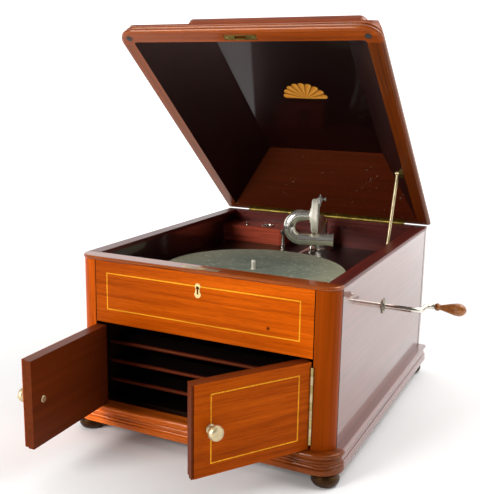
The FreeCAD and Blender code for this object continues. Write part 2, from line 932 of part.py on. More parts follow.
def bevel(teeth, mate, module, phase):
    """Bevel wheel below its cone point, which lies at the origin."""
    radius = teeth * module / 2
    drop = mate * module / 2
    length = math.hypot(radius, drop)
    normal_r = drop / length
    normal_z = radius / length
    shrink = 0.66

    def spot(angle, rise, side, scale):
        """A tooth corner at a given height over the pitch cone."""
        r = (radius + rise * normal_r) * scale
        z = (-drop + rise * normal_z) * scale
        t = side * scale
        c = math.cos(angle)
        s = math.sin(angle)
        return V(r * c - t * s, r * s + t * c, z)

    root_r = radius - 1.0 * module * normal_r
    root_z = -drop - 1.0 * module * normal_z
    blank = turning([(0, root_z - 3), (root_r - 2, root_z - 3), (root_r, root_z),
                     (root_r * shrink, root_z * shrink), (0, root_z * shrink)], V(0, 0, 0))
    solids = [blank]
    for index in range(teeth):
        angle = math.radians(phase + 360.0 / teeth * index)
        corners = [(-1.15, -0.72), (0.7, -0.28), (0.7, 0.28), (-1.15, 0.72)]
        rings = []
        for scale in (1.0, shrink):
            ring = [spot(angle, h * module, t * module, scale) for h, t in corners]
            rings.append(Part.makePolygon(ring + [ring[0]]))
        solids.append(Part.makeLoft(rings, True, True))
    return joined(solids)


def platter():
    """Pressed turntable with a turned-down rim and a hub."""
    r = platter_radius
    w = platter_wall
    web = -platter_web
    hub_foot = web - platter_hub_depth
    profile = [(shaft_radius, 0), (r - 1.4, 0), (r - 0.4, -0.4), (r, -1.4), (r, -platter_rim_depth),
               (r - w, -platter_rim_depth), (r - w, web - 1), (r - w - 1, web),
               (platter_hub, web), (platter_hub - 1, hub_foot), (shaft_radius, hub_foot)]
    return turning(profile, V(0, spindle_place, record_plane - felt_thickness))


def felt():
    """Felt disc on the platter, its upper edge eased."""
    r = platter_radius - felt_inset
    t = felt_thickness
    hole = shaft_radius + 0.3
    profile = [(hole, 0), (r, 0), (r, t - 0.8), (r - 0.8, t), (hole, t)]
    return turning(profile, V(0, spindle_place, record_plane - t))


def spindle():
    """Spindle: record pin, shaft, worm wheel and driving pinion."""
    step = plate_thickness + 0.5
    rise = record_plane - motor_floor
    tip = rise + spindle_free_height
    profile = [(0, 0), (pivot_radius, 0), (pivot_radius, step), (shaft_radius, step), (shaft_radius, rise),
               (spindle_radius, rise), (spindle_radius, tip), (spindle_radius - 1, tip + 1.6), (0, tip + 2.2)]
    shaft = turning(profile, V(0, spindle_place, motor_floor))
    small = gear(pinion_teeth, gear_module, wheel_thickness + 1, V(0, spindle_place, wheel_floor - 0.5),
                 mesh_angle + 180.0 / pinion_teeth)
    worm_wheel = gear(worm_teeth, worm_module, 6, V(0, spindle_place, governor_height - 3), 0)
    return joined([shaft, small, worm_wheel])


def spring_barrel():
    """Mainspring barrel with the great wheel under it."""
    inner = arbor_radius + running_clearance
    h = barrel_height
    w = barrel_wall
    r = barrel_radius
    profile = [(inner, 0), (r, 0), (r, h), (inner, h), (inner, h - w), (r - w, h - w), (r - w, w), (inner, w)]
    drum = turning(profile, V(barrel_x, barrel_y, barrel_floor))
    centre = V(barrel_x, barrel_y, wheel_floor)
    wheel = gear(barrel_teeth, gear_module, wheel_thickness, centre, mesh_angle + 180)
    return joined([drum, wheel.cut(rod(inner, wheel_thickness, centre))])


def mainspring():
    """Coiled steel ribbon inside the barrel."""
    steps = 24 * spring_turns
    start = arbor_radius + 6
    growth = (barrel_radius - barrel_wall - 2 * spring_gap - start) / steps
    low = barrel_floor + barrel_wall + spring_gap
    inner = []
    outer = []
    for index in range(steps + 1):
        angle = math.radians(15.0 * index)
        ray = V(math.cos(angle), math.sin(angle), 0)
        reach = start + growth * index
        centre = V(barrel_x, barrel_y, low)
        inner.append(centre + ray * (reach - spring_ribbon))
        outer.append(centre + ray * reach)
    return prism(inner + outer[::-1], Z_AXIS * (barrel_height - 2 * (barrel_wall + spring_gap)))


def winding_arbor():
    """Barrel arbor with the bevel wheel that the crank drives."""
    wheel = bevel(bevel_wheel_teeth, bevel_pinion_teeth, bevel_module, 0)
    wheel.translate(V(barrel_x, barrel_y, crank_place_z))
    step = motor_floor + plate_thickness + 0.5
    shaft = rod(arbor_radius, wheel.BoundBox.ZMin - step, V(barrel_x, barrel_y, step))
    tip = rod(pivot_radius, plate_thickness + 1, V(barrel_x, barrel_y, motor_floor))
    return joined([shaft, tip, wheel])


def motor_plates():
    """Two motor plates with four pillars, bearings and a lug for the crank."""
    t = plate_thickness
    y0 = spindle_place - plate_front
    y1 = barrel_y + plate_back
    low = box(-plate_left, plate_right, y0, y1, motor_floor, motor_floor + t)
    high = box(-plate_left, plate_right, y0, y1, motor_top, motor_top + t)
    pillars = []
    for x in (-plate_left + pillar_inset, plate_right - pillar_inset):
        for y in (y0 + pillar_inset, y1 - pillar_inset):
            pillars.append(rod(pillar_radius, motor_depth, V(x, y, motor_floor)))
            pillars.append(rod(hanger_radius, motor_hang - t, V(x, y, motor_top + t)))
    lug_x = plate_right - 3 * pillar_inset
    lug = box(lug_x, lug_x + 2 * t, crank_place_y - 10, crank_place_y + 10, crank_place_z - 9, motor_top)
    bearings = [box(x - t, x + t, governor_y - 5, governor_y + 5, motor_floor, governor_height + 6)
                for x in (-governor_left, governor_right)]
    window = box(barrel_x + 8, lug_x - 10, crank_place_y - 16, crank_place_y + 16, motor_top, motor_top + t)
    frame = joined([low, high.cut(window), lug] + pillars + bearings)
    pivot = pivot_radius + running_clearance
    cuts = [
        rod(pivot, t, V(0, spindle_place, motor_floor)),
        rod(pivot, t, V(barrel_x, barrel_y, motor_floor)),
        rod(shaft_radius + 0.6, t, V(0, spindle_place, motor_top)),
        rod(crank_radius + running_clearance, 2 * t, crank_axis + X_AXIS * lug_x, X_AXIS),
        rod(governor_shaft + running_clearance, governor_left + governor_right + 4 * t,
            V(-governor_left - 2 * t, governor_y, governor_height), X_AXIS),
    ]
    for cut in cuts:
        frame = frame.cut(cut)
    return frame


def governor():
    """Governor: worm shaft with weights on leaf springs and a brake disc."""
    y = governor_y
    z = governor_height
    overhang = 2.5
    length = governor_left + governor_right + 2 * overhang
    shaft = rod(governor_shaft, length, V(-governor_left - overhang, y, z), X_AXIS)
    worm = rod(worm_radius, 24, V(-12, y, z), X_AXIS)
    collar_x = 6 - governor_left
    pieces = [shaft, worm]
    for x, r, w in ((collar_x, 5, 5), (collar_x + 32, 11, 3), (collar_x + 35, 5, 4)):
        pieces.append(rod(r, w, V(x, y, z), X_AXIS))
    for index in range(governor_weights):
        leaf = box(collar_x + 4, collar_x + 33, y - 2, y + 2, z + 4, z + 4.8)
        ball = rod(governor_weight, 9, V(collar_x + 14, y, z + 9), X_AXIS)
        link = box(collar_x, collar_x + 6, y - 2, y + 2, z, z + 4.8)
        turn = 360.0 / governor_weights * index + 60
        pieces.append(turned(joined([leaf, ball, link]), V(0, y, z), X_AXIS, turn))
    return joined(pieces)


def quarter_bend(corner, enter, leave):
    """Start, middle and end of a round bend at a corner of the crank."""
    b = crank_bend
    middle = corner + (leave - enter) * (b * (1 - 1 / math.sqrt(2.0)))
    return [corner - enter * b, middle, corner + leave * b]


def crank_rod():
    """Bent winding crank with the bevel pinion on its inner end."""
    pinion = bevel(bevel_pinion_teeth, bevel_wheel_teeth, bevel_module, 180.0 / bevel_pinion_teeth)
    pinion.Placement = FreeCAD.Placement(V(0, 0, 0), FreeCAD.Rotation(V(0, 0, -1), X_AXIS))
    pinion.translate(V(barrel_x, crank_place_y, crank_place_z))
    begin = crank_axis + X_AXIS * (pinion.BoundBox.XMax - 1)
    corner = crank_axis + X_AXIS * (half_width + crank_reach)
    elbow = corner + crank_way * crank_throw
    one = quarter_bend(corner, X_AXIS, crank_way)
    two = quarter_bend(elbow, crank_way, X_AXIS)
    path = Part.Wire([
        Part.LineSegment(begin, one[0]).toShape(),
        Part.Arc(*one).toShape(),
        Part.LineSegment(one[2], two[0]).toShape(),
        Part.Arc(*two).toShape(),
    ])
    section = Part.Wire([Part.makeCircle(crank_radius, begin, X_AXIS)])
    bent = path.makePipeShell([section], True, True)
    axle = rod(crank_axle, handle_length - 2, elbow + X_AXIS * (crank_bend - 0.5), X_AXIS)
    return joined([bent, pinion, axle])


def crank_handle():
    """Turned pear-shaped grip that spins on the crank."""
    r = handle_radius
    n = handle_length
    bore = crank_axle + running_clearance
    bead = [(bore, 0), (3.6, 0), (5.6, 1.6), (6.4, 4.2), (5.8, 6.8), (4.4, 8.6)]
    swell = [(4.5, 0.22), (5.2, 0.28), (6.8, 0.40), (8.8, 0.54), (r - 0.3, 0.66), (r, 0.74), (r - 0.4, 0.82)]
    end = [(r - 1.9, n - 5), (r - 4.5, n - 2), (3.2, n - 0.5), (bore, n - 0.5)]
    profile = bead + [(radius, share * n) for radius, share in swell] + end
    return turning(profile, V(grip_start + handle_gap, handle_axis.y, handle_axis.z), X_AXIS)


def crank_plate():
    """Escutcheon around the winding shaft: a scalloped brass plate on a sleeve."""
    face = crank_axis + X_AXIS * half_width
    petals = []
    for angle in range(0, 360, 60):
        spot = face + turned_vector(crank_petal_ring, angle)
        petals.append(rod(crank_petal, crank_plate_thickness, spot, X_AXIS))
    core = rod(crank_plate_radius, crank_plate_thickness, face, X_AXIS)
    collar = rod(crank_collar_radius, crank_collar_height, face, X_AXIS)
    inside = crank_axis + X_AXIS * inner_half
    sleeve = rod(crank_radius + crank_sleeve, side_board, inside, X_AXIS)
    hole = rod(crank_radius + running_clearance, side_board + crank_collar_height, inside, X_AXIS)
    return joined(petals + [core, collar, sleeve]).cut(hole)


def turned_vector(reach, degrees):
    """A vector across the crank's axis."""
    angle = math.radians(degrees)
    return V(0, reach * math.cos(angle), reach * math.sin(angle))


def piano_hinge(start, way, length, count, knuckle, pin, fixed_plate, moving_plate):
    """A long knuckled hinge: fixed leaf, moving leaf and pin."""
    step = length / count
    slots = [[], []]
    tubes = [[], []]
    for i in range(count):
        begin = start + way * (step * i)
        tubes[i % 2].append(rod(knuckle, step - hinge_slack, begin + way * (hinge_slack / 2), way))
        slots[i % 2].append(rod(knuckle + hinge_slack, step + 0.2, begin - way * 0.1, way))
    leaves = []
    for own, plate, bore in ((0, fixed_plate, pin), (1, moving_plate, pin + running_clearance)):
        leaf = plate.cut(Part.makeCompound(slots[1 - own]))
        leaf = joined([leaf] + tubes[own])
        leaves.append(leaf.cut(rod(bore, length + 2, start - way, way)))
    return leaves[0], leaves[1], rod(pin, length - hinge_slack, start + way * (hinge_slack / 2), way)


def door_channel():
    """Space that the door hinge takes out of door and post, right side."""
    low = door_hinge_low - leaf_slack
    length = door_hinge_length + 2 * leaf_slack
    near = post_inner - door_gap - door_leaf
    plate = box(near, post_inner + door_leaf, -1, door_leaf_depth, low, low + length)
    return joined([rod(door_knuckle_radius + hinge_slack, length, V(door_pin.x, door_pin.y, low)), plate])


def door_hinge():
    """Right door hinge, shut."""
    back = door_leaf_depth - leaf_slack
    high = door_hinge_low + door_hinge_length
    edge = post_inner - door_gap
    on_post = box(post_inner, post_inner + door_leaf, door_pin.y, back, door_hinge_low, high)
    on_door = box(edge - door_leaf, edge, door_pin.y, back, door_hinge_low, high)
    start = V(door_pin.x, door_pin.y, door_hinge_low)
    return piano_hinge(start, Z_AXIS, door_hinge_length, door_knuckles, door_knuckle_radius, door_pin_radius,
                       on_post, on_door)


def door_line():
    """Inlaid line of the right door."""
    return ring_frame(knob_edge_inset, post_inner - door_line_inset, door_low + door_line_foot,
                      door_high - door_line_head, line_width, 0, line_depth)


def knob_seat(radius):
    """Round cut through the door at the knob, right side."""
    return rod(radius, door_thickness, V(knob_edge_inset, 0, knob_height), Y_AXIS)


def door_right():
    """Right door with a lip over the meeting edge."""
    half_gap = door_gap / 2
    slab = box(half_gap, post_inner - door_gap, 0, door_thickness, door_low, door_high)
    lip = box(-door_lip, 1, door_lip_face, door_lip_face + door_lip_depth, door_low, door_high)
    front = box(0, 1 + half_gap, 0, door_lip_face, door_low, door_high)
    whole = joined([slab, lip]).cut(front)
    for cut in (door_line(), knob_seat(knob_screw), door_channel(), catch_recess()):
        whole = whole.cut(cut)
    return whole


def door_left():
    """Left door, rebated behind the lip of the right one."""
    slab = box(-post_inner + door_gap, -door_gap / 2, 0, door_thickness, door_low, door_high)
    depth = door_lip_face + door_lip_depth + door_lip_slack
    whole = slab.cut(box(-door_lip - door_lip_slack, 0, 0, depth, door_low, door_high))
    for cut in (door_line(), knob_seat(knob_screw), door_channel(), catch_recess()):
        whole = whole.cut(mirrored(cut))
    return whole


def door_inlay():
    """Boxwood line of the right door, cut round the knob."""
    return door_line().cut(knob_seat(knob_base))


def door_knob():
    """Turned knob with its screw and the brass plate inside the door."""
    back = door_thickness
    s = knob_screw
    r = knob_radius
    n = knob_length
    profile = [(0, back + 1.4), (4.0, back + 1.4), (5.0, back + 0.4), (5.0, back), (s, back), (s, 0),
               (6.4, 0), (6.6, -1.6), (4.6, -3.0), (4.2, -6.0), (5.6, -8.6), (r - 1.7, 11.6 - n),
               (r, 8.5 - n), (r, 5.5 - n), (r - 1.3, 2.4 - n), (r - 4.3, 0.6 - n), (0, -n)]
    return turning(profile, V(knob_edge_inset, 0, knob_height), Y_AXIS)


def catch_recess():
    """Dimple in the door's lower edge for the spring catch."""
    return rod(catch_bore + 0.7, 2.5, catch_place + Z_AXIS * door_low)


def catch_holes():
    """Sockets for the catch barrels."""
    hole = rod(catch_outer, catch_drop, catch_place - Z_AXIS * catch_drop)
    return group([hole, mirrored(hole)])


def catch_barrels():
    """Brass bullet-catch barrels in the plinth top under the doors."""
    barrel = tube(catch_outer, catch_bore, catch_drop + 0.4, catch_place - Z_AXIS * catch_drop)
    return group([barrel, mirrored(barrel)])


def catch_bullet():
    """Sprung round-nosed pin of the right catch."""
    r = catch_bore - 0.1
    foot = 1.4 - catch_drop
    profile = [(0, foot), (r, foot), (r, 0.0), (r - 0.5, 0.5), (r - 1.4, 0.9), (0, 1.0)]
    return turning(profile, catch_place)


def opened_door(shape, sign):
    """Turn a shut door piece to its standing place."""
    centre = V(sign * door_pin.x, door_pin.y, 0)
    return turned(shape, centre, Z_AXIS, door_open_right if sign > 0 else -door_open_left)


def lid_profile(rail):
    """Two-bead edge of the lid: outward offset and height."""
    low = lid_low
    lower = lid_lower_bead
    upper = lid_upper_bead
    lower_centre = low + lid_bead_drop + lower
    upper_centre = lower_centre + lower + upper + 0.2
    step = -lid_edge_step
    return ([(-rail, low), (-lower - 0.8, low)]
            + arc_points(-lower, lower_centre, lower, -90, 90, 8)
            + arc_points(step - lid_bead_drop, upper_centre, upper, -90, 90, 8)
            + [(step, upper_centre + upper + 1), (step, lid_deck), (-rail, lid_deck)])


def lid_frame_front():
    """Front lid rail with both rounded corners, let in for strike and bumpers."""
    run = corner_run(lid_profile(lid_side_rail), lid_half, lid_radius)
    run.translate(V(0, lid_front_y, 0))
    reach = strike_width / 2
    plate = box(-strike_half, strike_half, lock_y - reach, lock_y + reach, lid_low, lid_low + brass_plate)
    half = strike_slot_half + 2
    deep = strike_slot_width / 2 + lock_slack
    pocket = box(-half, half, lock_y - deep, lock_y + deep, lid_low, lid_low + strike_pocket_depth)
    return run.cut(plate).cut(pocket).cut(bumpers(0))


def bumpers(proud):
    """Two round bumpers at the front corners, standing proud of the rail."""
    reach = lid_half - bumper_inset
    low = lid_low - proud
    return group([rod(bumper_radius, bumper_depth + proud, V(s * reach, lid_front_y + bumper_place, low))
                  for s in (-1, 1)])


def strike_plate():
    """Brass strike with rounded ends and the bolt's slot."""
    r = strike_width / 2
    straight = strike_half - r
    ends = [V(s * straight, lock_y, lid_low) for s in (-1, 1)]
    bar = box(-straight, straight, lock_y - r, lock_y + r, lid_low, lid_low + brass_plate)
    plate = joined([bar] + [rod(r, brass_plate, spot) for spot in ends])
    deep = strike_slot_width / 2
    half = strike_slot_half
    slot = box(-half, half, lock_y - deep, lock_y + deep, lid_low, lid_low + brass_plate)
    return plate.cut(slot).cut(group([rod(1.6, brass_plate, spot) for spot in ends]))


def lid_frame_side():
    """Left lid rail."""
    run = side_run(lid_profile(lid_side_rail), lid_half, lid_front_y + lid_radius, case_depth)
    return run.cut(hinge_groove())


def lid_frame_back():
    """Rear lid rail, rebated for its hinge leaf."""
    rail = box(-lid_inner_half, lid_inner_half, hollow_back, case_depth, lid_low, lid_deck)
    return rail.cut(leaf_rebate(lid_low, lid_low + lid_leaf)).cut(hinge_groove())


def hinge_groove():
    """Room for the lid hinge knuckles."""
    reach = lid_hinge_length / 2 + leaf_slack
    return rod(lid_knuckle_radius + hinge_slack, 2 * reach, V(-reach, lid_pin.y, lid_pin.z), X_AXIS)


def lid_hinge():
    """Long brass lid hinge, shut."""
    reach = lid_hinge_length / 2
    front = case_depth - lid_leaf_depth
    fixed = box(-reach, reach, front, lid_pin.y, case_height - lid_leaf, case_height)
    moving = box(-reach, reach, front, lid_pin.y, lid_low, lid_low + lid_leaf)
    start = V(-reach, lid_pin.y, lid_pin.z)
    return piano_hinge(start, X_AXIS, lid_hinge_length, lid_knuckles, lid_knuckle_radius, lid_pin_radius,
                       fixed, moving)


def plan(half, front, back, z):
    """A level rectangle."""
    return [V(-half, front, z), V(half, front, z), V(half, back, z), V(-half, back, z)]


def lid_shell():
    """All four sloping boards of the lid before they are parted at the mitres."""
    slopes = wedge_board(shoulder_plan(), plan(top_half, top_front, top_back, lid_foot))
    ends = lid_radius - lid_edge_step
    outline = rounded_slab(lid_shoulder, lid_front_y + lid_edge_step, case_depth, ends, lid_deck, lid_foot)
    outside = joined([slopes.common(outline), raised_block(lid_foot, lid_crown)])
    lower = box(-lid_inner_half, lid_inner_half, hollow_front, hollow_back, lid_low, lid_deck)
    hollow = wedge_board(plan(lid_inner_half, hollow_front, hollow_back, lid_low),
                         plan(deep_half, deep_front, deep_back, lid_crown))
    return joined([outside, lower]).cut(hollow)


def shoulder_plan():
    """Outer outline of the slopes where they leave the edge moulding."""
    return plan(lid_shoulder, lid_front_y + lid_edge_step, case_depth - lid_edge_step, lid_deck)


def raised_block(low, high):
    """The raised part of the lid between two heights, its corners rounded."""
    block = box(-top_half, top_half, top_front, top_back, low, high)
    uprights = [edge for edge in block.Edges if edge.BoundBox.ZLength > lid_top_ease]
    return block.makeFillet(lid_top_corner, uprights)


def lid_slopes():
    """The sloping boards, parted at their mitres: left, right, front, back."""
    shell = lid_shell().cut(lid_frame_front())
    far = lid_slope_run
    deep = 2 * lid_slope_run
    low = lid_low - lid_edge_height
    outer = plan(lid_inner_half + far, hollow_front - far, hollow_back + far, low)
    inner = plan(lid_inner_half - deep, hollow_front + deep, hollow_back - deep, low)
    rise = Z_AXIS * (lid_hollow_depth + 2 * lid_edge_height)
    boards = []
    for one, two in ((3, 0), (0, 1), (2, 3)):
        area = [outer[one], outer[two], inner[two], inner[one]]
        boards.append(prism(area, rise).common(shell))
    return boards[0], mirrored(boards[0]), boards[1], boards[2]


def lid_motif():
    """Half-fan inlay in the deep panel of the lid, with a scalloped rim."""
    hub = V(motif_x, deep_back - motif_setback, lid_crown)
    fan = Part.makeCylinder(motif_radius, motif_depth, hub, Z_AXIS, 180)
    fan.rotate(hub, Z_AXIS, 180)
    step = 180.0 / motif_petals
    petal = motif_radius * math.radians(step) / 2
    lobes = []
    for index in range(motif_petals):
        angle = math.radians(180 + step * (index + 0.5))
        spot = hub + V(motif_radius * math.cos(angle), motif_radius * math.sin(angle), 0)
        lobes.append(rod(petal, motif_depth, spot))
    return joined([fan] + lobes)


def lid_top():
    """Raised flat top of the lid."""
    board = raised_block(lid_crown, lid_peak)
    brink = [edge for edge in board.Edges if edge.BoundBox.ZMin > lid_peak - lid_top_ease]
    return board.makeFillet(lid_top_ease, brink).cut(lid_motif())


def opened_lid(shape):
    """Turn a shut lid piece to its standing angle."""
    return turned(shape, lid_pin, X_AXIS, -lid_open)


def stay_bracket():
    """Eye bracket on the lid's right slope, in the open place."""
    shut = turned(Part.Vertex(ball_centre), lid_pin, X_AXIS, lid_open).Point
    plate_x = stay_x + stay_eye + 0.2
    pin_x = stay_x - stay_eye + 0.2
    pin = rod(stay_pin, lid_inner_half - pin_x, V(pin_x, shut.y, shut.z), X_AXIS)
    plate = box(plate_x, lid_inner_half, shut.y - 7, shut.y + 7, shut.z - stay_eye, shut.z + 14)
    whole = joined([plate, pin]).cut(lid_shell())
    solids = sorted(whole.Solids, key=lambda solid: solid.Volume)
    return opened_lid(solids[-1])


def lid_stay():
    """Stay rod with an eye at the lid end."""
    way = guide_centre - ball_centre
    length = way.Length + stay_tail
    way.normalize()
    eye = tube(stay_eye, stay_pin + running_clearance, 6, ball_centre - X_AXIS * 3, X_AXIS)
    bar = rod(stay_radius, length, ball_centre, way)
    bar = bar.cut(rod(stay_eye - 0.5, 12, ball_centre - X_AXIS * 6, X_AXIS))
    end = Part.makeSphere(stay_radius + 0.2, ball_centre + way * length)
    return joined([eye, bar, end])


def stay_guide():
    """Slotted guide eye on the right wall for the stay rod."""
    half = stay_radius + stay_slack
    thick = guide_thickness / 2
    y = guide_centre.y
    z = guide_centre.z
    front = y - guide_slot_front
    back = y + guide_slot_back
    seat = inner_half - 2
    plate = box(seat, inner_half, front - 2 * guide_wall, back + 2 * guide_wall, z - 12, z + 8)
    arm = box(stay_x - half - guide_wall, seat, front - guide_wall, back + guide_wall, z - thick, z + thick)
    slot = box(stay_x - half, stay_x + half, front, back, z - thick, z + thick)
    return joined([plate, arm]).cut(slot)


def arm_frame(shape):
    """Turn an arm piece, drawn along X from the pillar, to its standing heading."""
    spin = FreeCAD.Rotation(Z_AXIS, arm_heading)
    moved = shape.copy()
    moved.Placement = FreeCAD.Placement(V(arm_pivot_x, arm_pivot_y, 0), spin).multiply(moved.Placement)
    return moved


def arm_base():
    """Fixed flanged socket of the sound arm."""
    r = base_radius
    h = base_height
    c = column_radius
    profile = [(c, 0), (r, 0), (r, 3), (r - 3, 4.5), (c + 4.8, 6), (c + 3.8, h - 5), (c + 5.3, h - 3),
               (c + 5.3, h), (c, h)]
    return turning(profile, V(arm_pivot_x, arm_pivot_y, board_top))


def sound_arm():
    """Tapered arm on its pillar with the cross tube at the far end."""
    z = arm_axis_height
    shoulder = z - arm_bend
    column_outer = column_radius - running_clearance
    column = tube(column_outer, arm_bore, shoulder - board_top - 1, V(0, 0, board_top + 1))
    collar = tube(collar_radius, arm_bore, collar_height, V(0, 0, board_top + base_height + collar_gap))
    ring = Part.Face(Part.Wire(Part.makeCircle(column_outer, V(0, 0, shoulder), Z_AXIS)))
    bend = ring.revolve(V(arm_bend, 0, shoulder), Y_AXIS, 90)
    run = Part.makeCone(column_outer, arm_radius, arm_length - arm_bend, V(arm_bend, 0, z), X_AXIS)
    cross = rod(cross_radius, cross_half_length - neck_joint, V(arm_length, neck_joint, z), Y_AXIS)
    cap = rod(cross_radius + cross_band, 3, V(arm_length, cross_half_length - 3, z), Y_AXIS)
    band = rod(cross_radius + cross_band, 3.5, V(arm_length, neck_joint, z), Y_AXIS)
    depth = spigot_length + 1
    socket = rod(spigot_radius + running_clearance, depth, V(arm_length, neck_joint, z), Y_AXIS)
    return arm_frame(joined([column, collar, bend, run, cross, cap, band]).cut(socket))


def gooseneck():
    """U-shaped tube that turns on the cross tube and carries the soundbox."""
    low = V(0, -cross_half_length, 0)
    leg = rod(cross_radius, neck_joint - neck_gap + cross_half_length, low, Y_AXIS)
    spigot = rod(spigot_radius, spigot_length, V(0, neck_joint - 2 * neck_gap, 0), Y_AXIS)
    ring = Part.Face(Part.Wire(Part.makeCircle(cross_radius, low, Y_AXIS)))
    bend = ring.revolve(low + Z_AXIS * neck_bend, X_AXIS, -180)
    top = low + Z_AXIS * (2 * neck_bend)
    nose = Part.makeCone(cross_radius, neck_nose, soundbox_back + cross_half_length, top, Y_AXIS)
    neck = joined([leg, spigot, bend, nose])
    return arm_frame(neck.translated(V(arm_length, 0, arm_axis_height)))


def soundbox_shell():
    """Soundbox: back plate, ring and front flange."""
    r = soundbox_radius
    t = soundbox_thickness
    w = soundbox_wall
    f = r + soundbox_flange
    seat = t - flange_depth
    back = [(0, 0), (12, 0), (13, 2.0), (r - w, 2.6), (r - 1, 3.6), (r, 5)]
    edge = [(r, t - 3), (f, t - 2.6), (f, t), (r - w - 1, t)]
    inside = [(r - w - 1, seat), (r - w, seat), (r - w, 6), (0, 6)]
    profile = back + edge + inside
    return arm_frame(turning(profile, V(arm_length, soundbox_back, soundbox_height), Y_AXIS))


def diaphragm():
    """Thin plate held inside the soundbox."""
    y = soundbox_back + soundbox_thickness - flange_depth - diaphragm_thickness - 0.3
    radius = soundbox_radius - soundbox_wall - running_clearance
    return arm_frame(rod(radius, diaphragm_thickness, V(arm_length, y, soundbox_height), Y_AXIS))


def leaned(shape):
    """A needle piece, drawn straight up, leaned to its standing angle on the soundbox."""
    return arm_frame(turned(shape, V(arm_length, 0, soundbox_height), Y_AXIS, needle_lean))


def stylus_bar():
    """Bar from the diaphragm's middle to the needle holder, with its pivot block."""
    x = arm_length
    y = soundbox_back + soundbox_thickness
    z = soundbox_height
    top = z + soundbox_radius
    bar = box(x - 1.5, x + 1.5, y + 0.6, y + 2.6, z - 2, top + 3)
    post = rod(1.6, flange_depth + 1, V(x, y - flange_depth - 0.2, z), Y_AXIS)
    block = box(x - 7, x + 7, y, y + 4.5, top - 5, top + 0.5)
    holder = rod(needle_holder, needle_holder_length, V(x, y + 3.5, top + 0.4))
    return leaned(joined([bar, post, block, holder]))


def needle():
    """Steel needle with a tapered point."""
    low = V(arm_length, soundbox_back + soundbox_thickness + 3.5,
            soundbox_height + soundbox_radius + needle_holder_length + 0.4)
    shank = 3.0
    point = Part.makeCone(needle_radius, 0.1, shank, low + Z_AXIS * shank, Z_AXIS)
    return leaned(joined([rod(needle_radius, shank, low), point]))


def needle_screw():
    """Thumb screw that holds the needle."""
    up = soundbox_height + soundbox_radius + 5.4
    seat = V(arm_length, soundbox_back + soundbox_thickness + 3.5 + needle_holder, up)
    stem = rod(1.3, 4.0, seat + Y_AXIS * running_clearance, Y_AXIS)
    head = rod(3.4, 2.6, seat + Y_AXIS * 3.4, Y_AXIS)
    return leaned(joined([stem, head]))


def build_case():
    """Carcass, plinth, rim, front and horn."""
    post_left = corner_post()
    channel = door_channel()
    save("corner_posts", group([post_left.cut(mirrored(channel)), mirrored(post_left).cut(channel)]))
    save("side_panels", group([side_panel(), side_panel_right()]))
    save("back_panel", box(-inner_half, inner_half, inner_back, case_depth, 0, rim_bottom))
    save("front_panel", front_panel())
    save("front_inlay", inlaid_line())
    save("escutcheons", group([key_plate(), crank_plate()]))
    save("lock_case", group([lock_case(), lock_selvedge()]))
    save("lock_bolt", lock_bolt())
    save("rim_front", rim_front())
    save("rim_sides_and_back", group([rim_side(), mirrored(rim_side()), rim_back()]))
    save("plinth_front", plinth_front())
    save("plinth_sides", group([plinth_side(), mirrored(plinth_side())]))
    save("base_board", group([base_board(), plinth_back()]))
    save("feet", feet())
    save("motor_board", motor_board())
    save("board_bearers", board_bearers())
    save("horn_boards", group([horn_top(), horn_floor(), horn_cheek(-1), horn_cheek(1)]))
    save("horn_elbow", horn_elbow())
    save("louvre_slats", louvres())
    save("mouth_lining", mouth_lining())
    save("needle_block", needle_block())
    save("needle_cup", group([needle_cup(), block_stud()]))


def build_motor():
    """Turntable, spring motor, crank and controls."""
    save("speed_knob", speed_knob())
    save("brake_lever", brake())
    save("platter", platter())
    save("platter_felt", felt())
    save("spindle", spindle())
    save("spring_barrel", spring_barrel())
    save("mainspring", mainspring())
    save("winding_arbor", winding_arbor())
    save("motor_plates", motor_plates())
    save("governor", governor())
    save("crank_rod", crank_rod())
    save("crank_handle", crank_handle())


def build_doors():
    """Both doors with their hinges and catches."""
    post_leaf, door_leaf, door_pin_rod = door_hinge()
    fixed = [post_leaf, door_pin_rod]
    case_brass = fixed + [mirrored(piece) for piece in fixed] + catch_barrels().Solids
    save("door_case_brass", group(case_brass))
    save("door_right", opened_door(door_right(), 1))
    save("door_left", opened_door(door_left(), -1))
    brass = group([door_knob(), door_leaf])
    save("door_right_inlay", opened_door(door_inlay(), 1))
    save("door_left_inlay", opened_door(mirrored(door_inlay()), -1))
    save("door_right_brass", opened_door(brass, 1))
    save("door_left_brass", opened_door(mirrored(brass), -1))
    save("catch_bullets", group([catch_bullet(), mirrored(catch_bullet())]))


def build_lid():
    """Lid, its hinge and its stay."""
    save("lid_frame_front", opened_lid(lid_frame_front()))
    side_rail = lid_frame_side()
    save("lid_frame_sides_and_back", opened_lid(group([side_rail, mirrored(side_rail), lid_frame_back()])))
    left, right, ahead, behind = lid_slopes()
    save("lid_slope_left", opened_lid(left))
    save("lid_slope_right", opened_lid(right))
    save("lid_slope_front", opened_lid(ahead))
    save("lid_slope_back", opened_lid(behind))
    save("lid_top", opened_lid(lid_top()))
    save("lid_motif", opened_lid(lid_motif()))
    save("lid_bumpers", opened_lid(bumpers(hinge_slack)))
    case_leaf, lid_leaf, pin = lid_hinge()
    save("lid_case_brass", group([case_leaf, pin, stay_guide()]))
    save("lid_fittings", group([opened_lid(strike_plate()), opened_lid(lid_leaf), stay_bracket()]))
    save("lid_stay", lid_stay())


def build_arm():
    """Sound arm, gooseneck and soundbox."""
    save("arm_base", arm_base())
    save("sound_arm", sound_arm())
    save("gooseneck", gooseneck())
    save("soundbox_shell", soundbox_shell())
    save("diaphragm", diaphragm())
    save("stylus_bar", group([stylus_bar(), needle(), needle_screw()]))


build_case()
build_motor()
build_doors()
build_lid()
build_arm()
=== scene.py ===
import logging
import math
from dataclasses import dataclass
from enum import Enum
from typing import Sequence

import bpy
from mathutils import Euler, Matrix, Vector


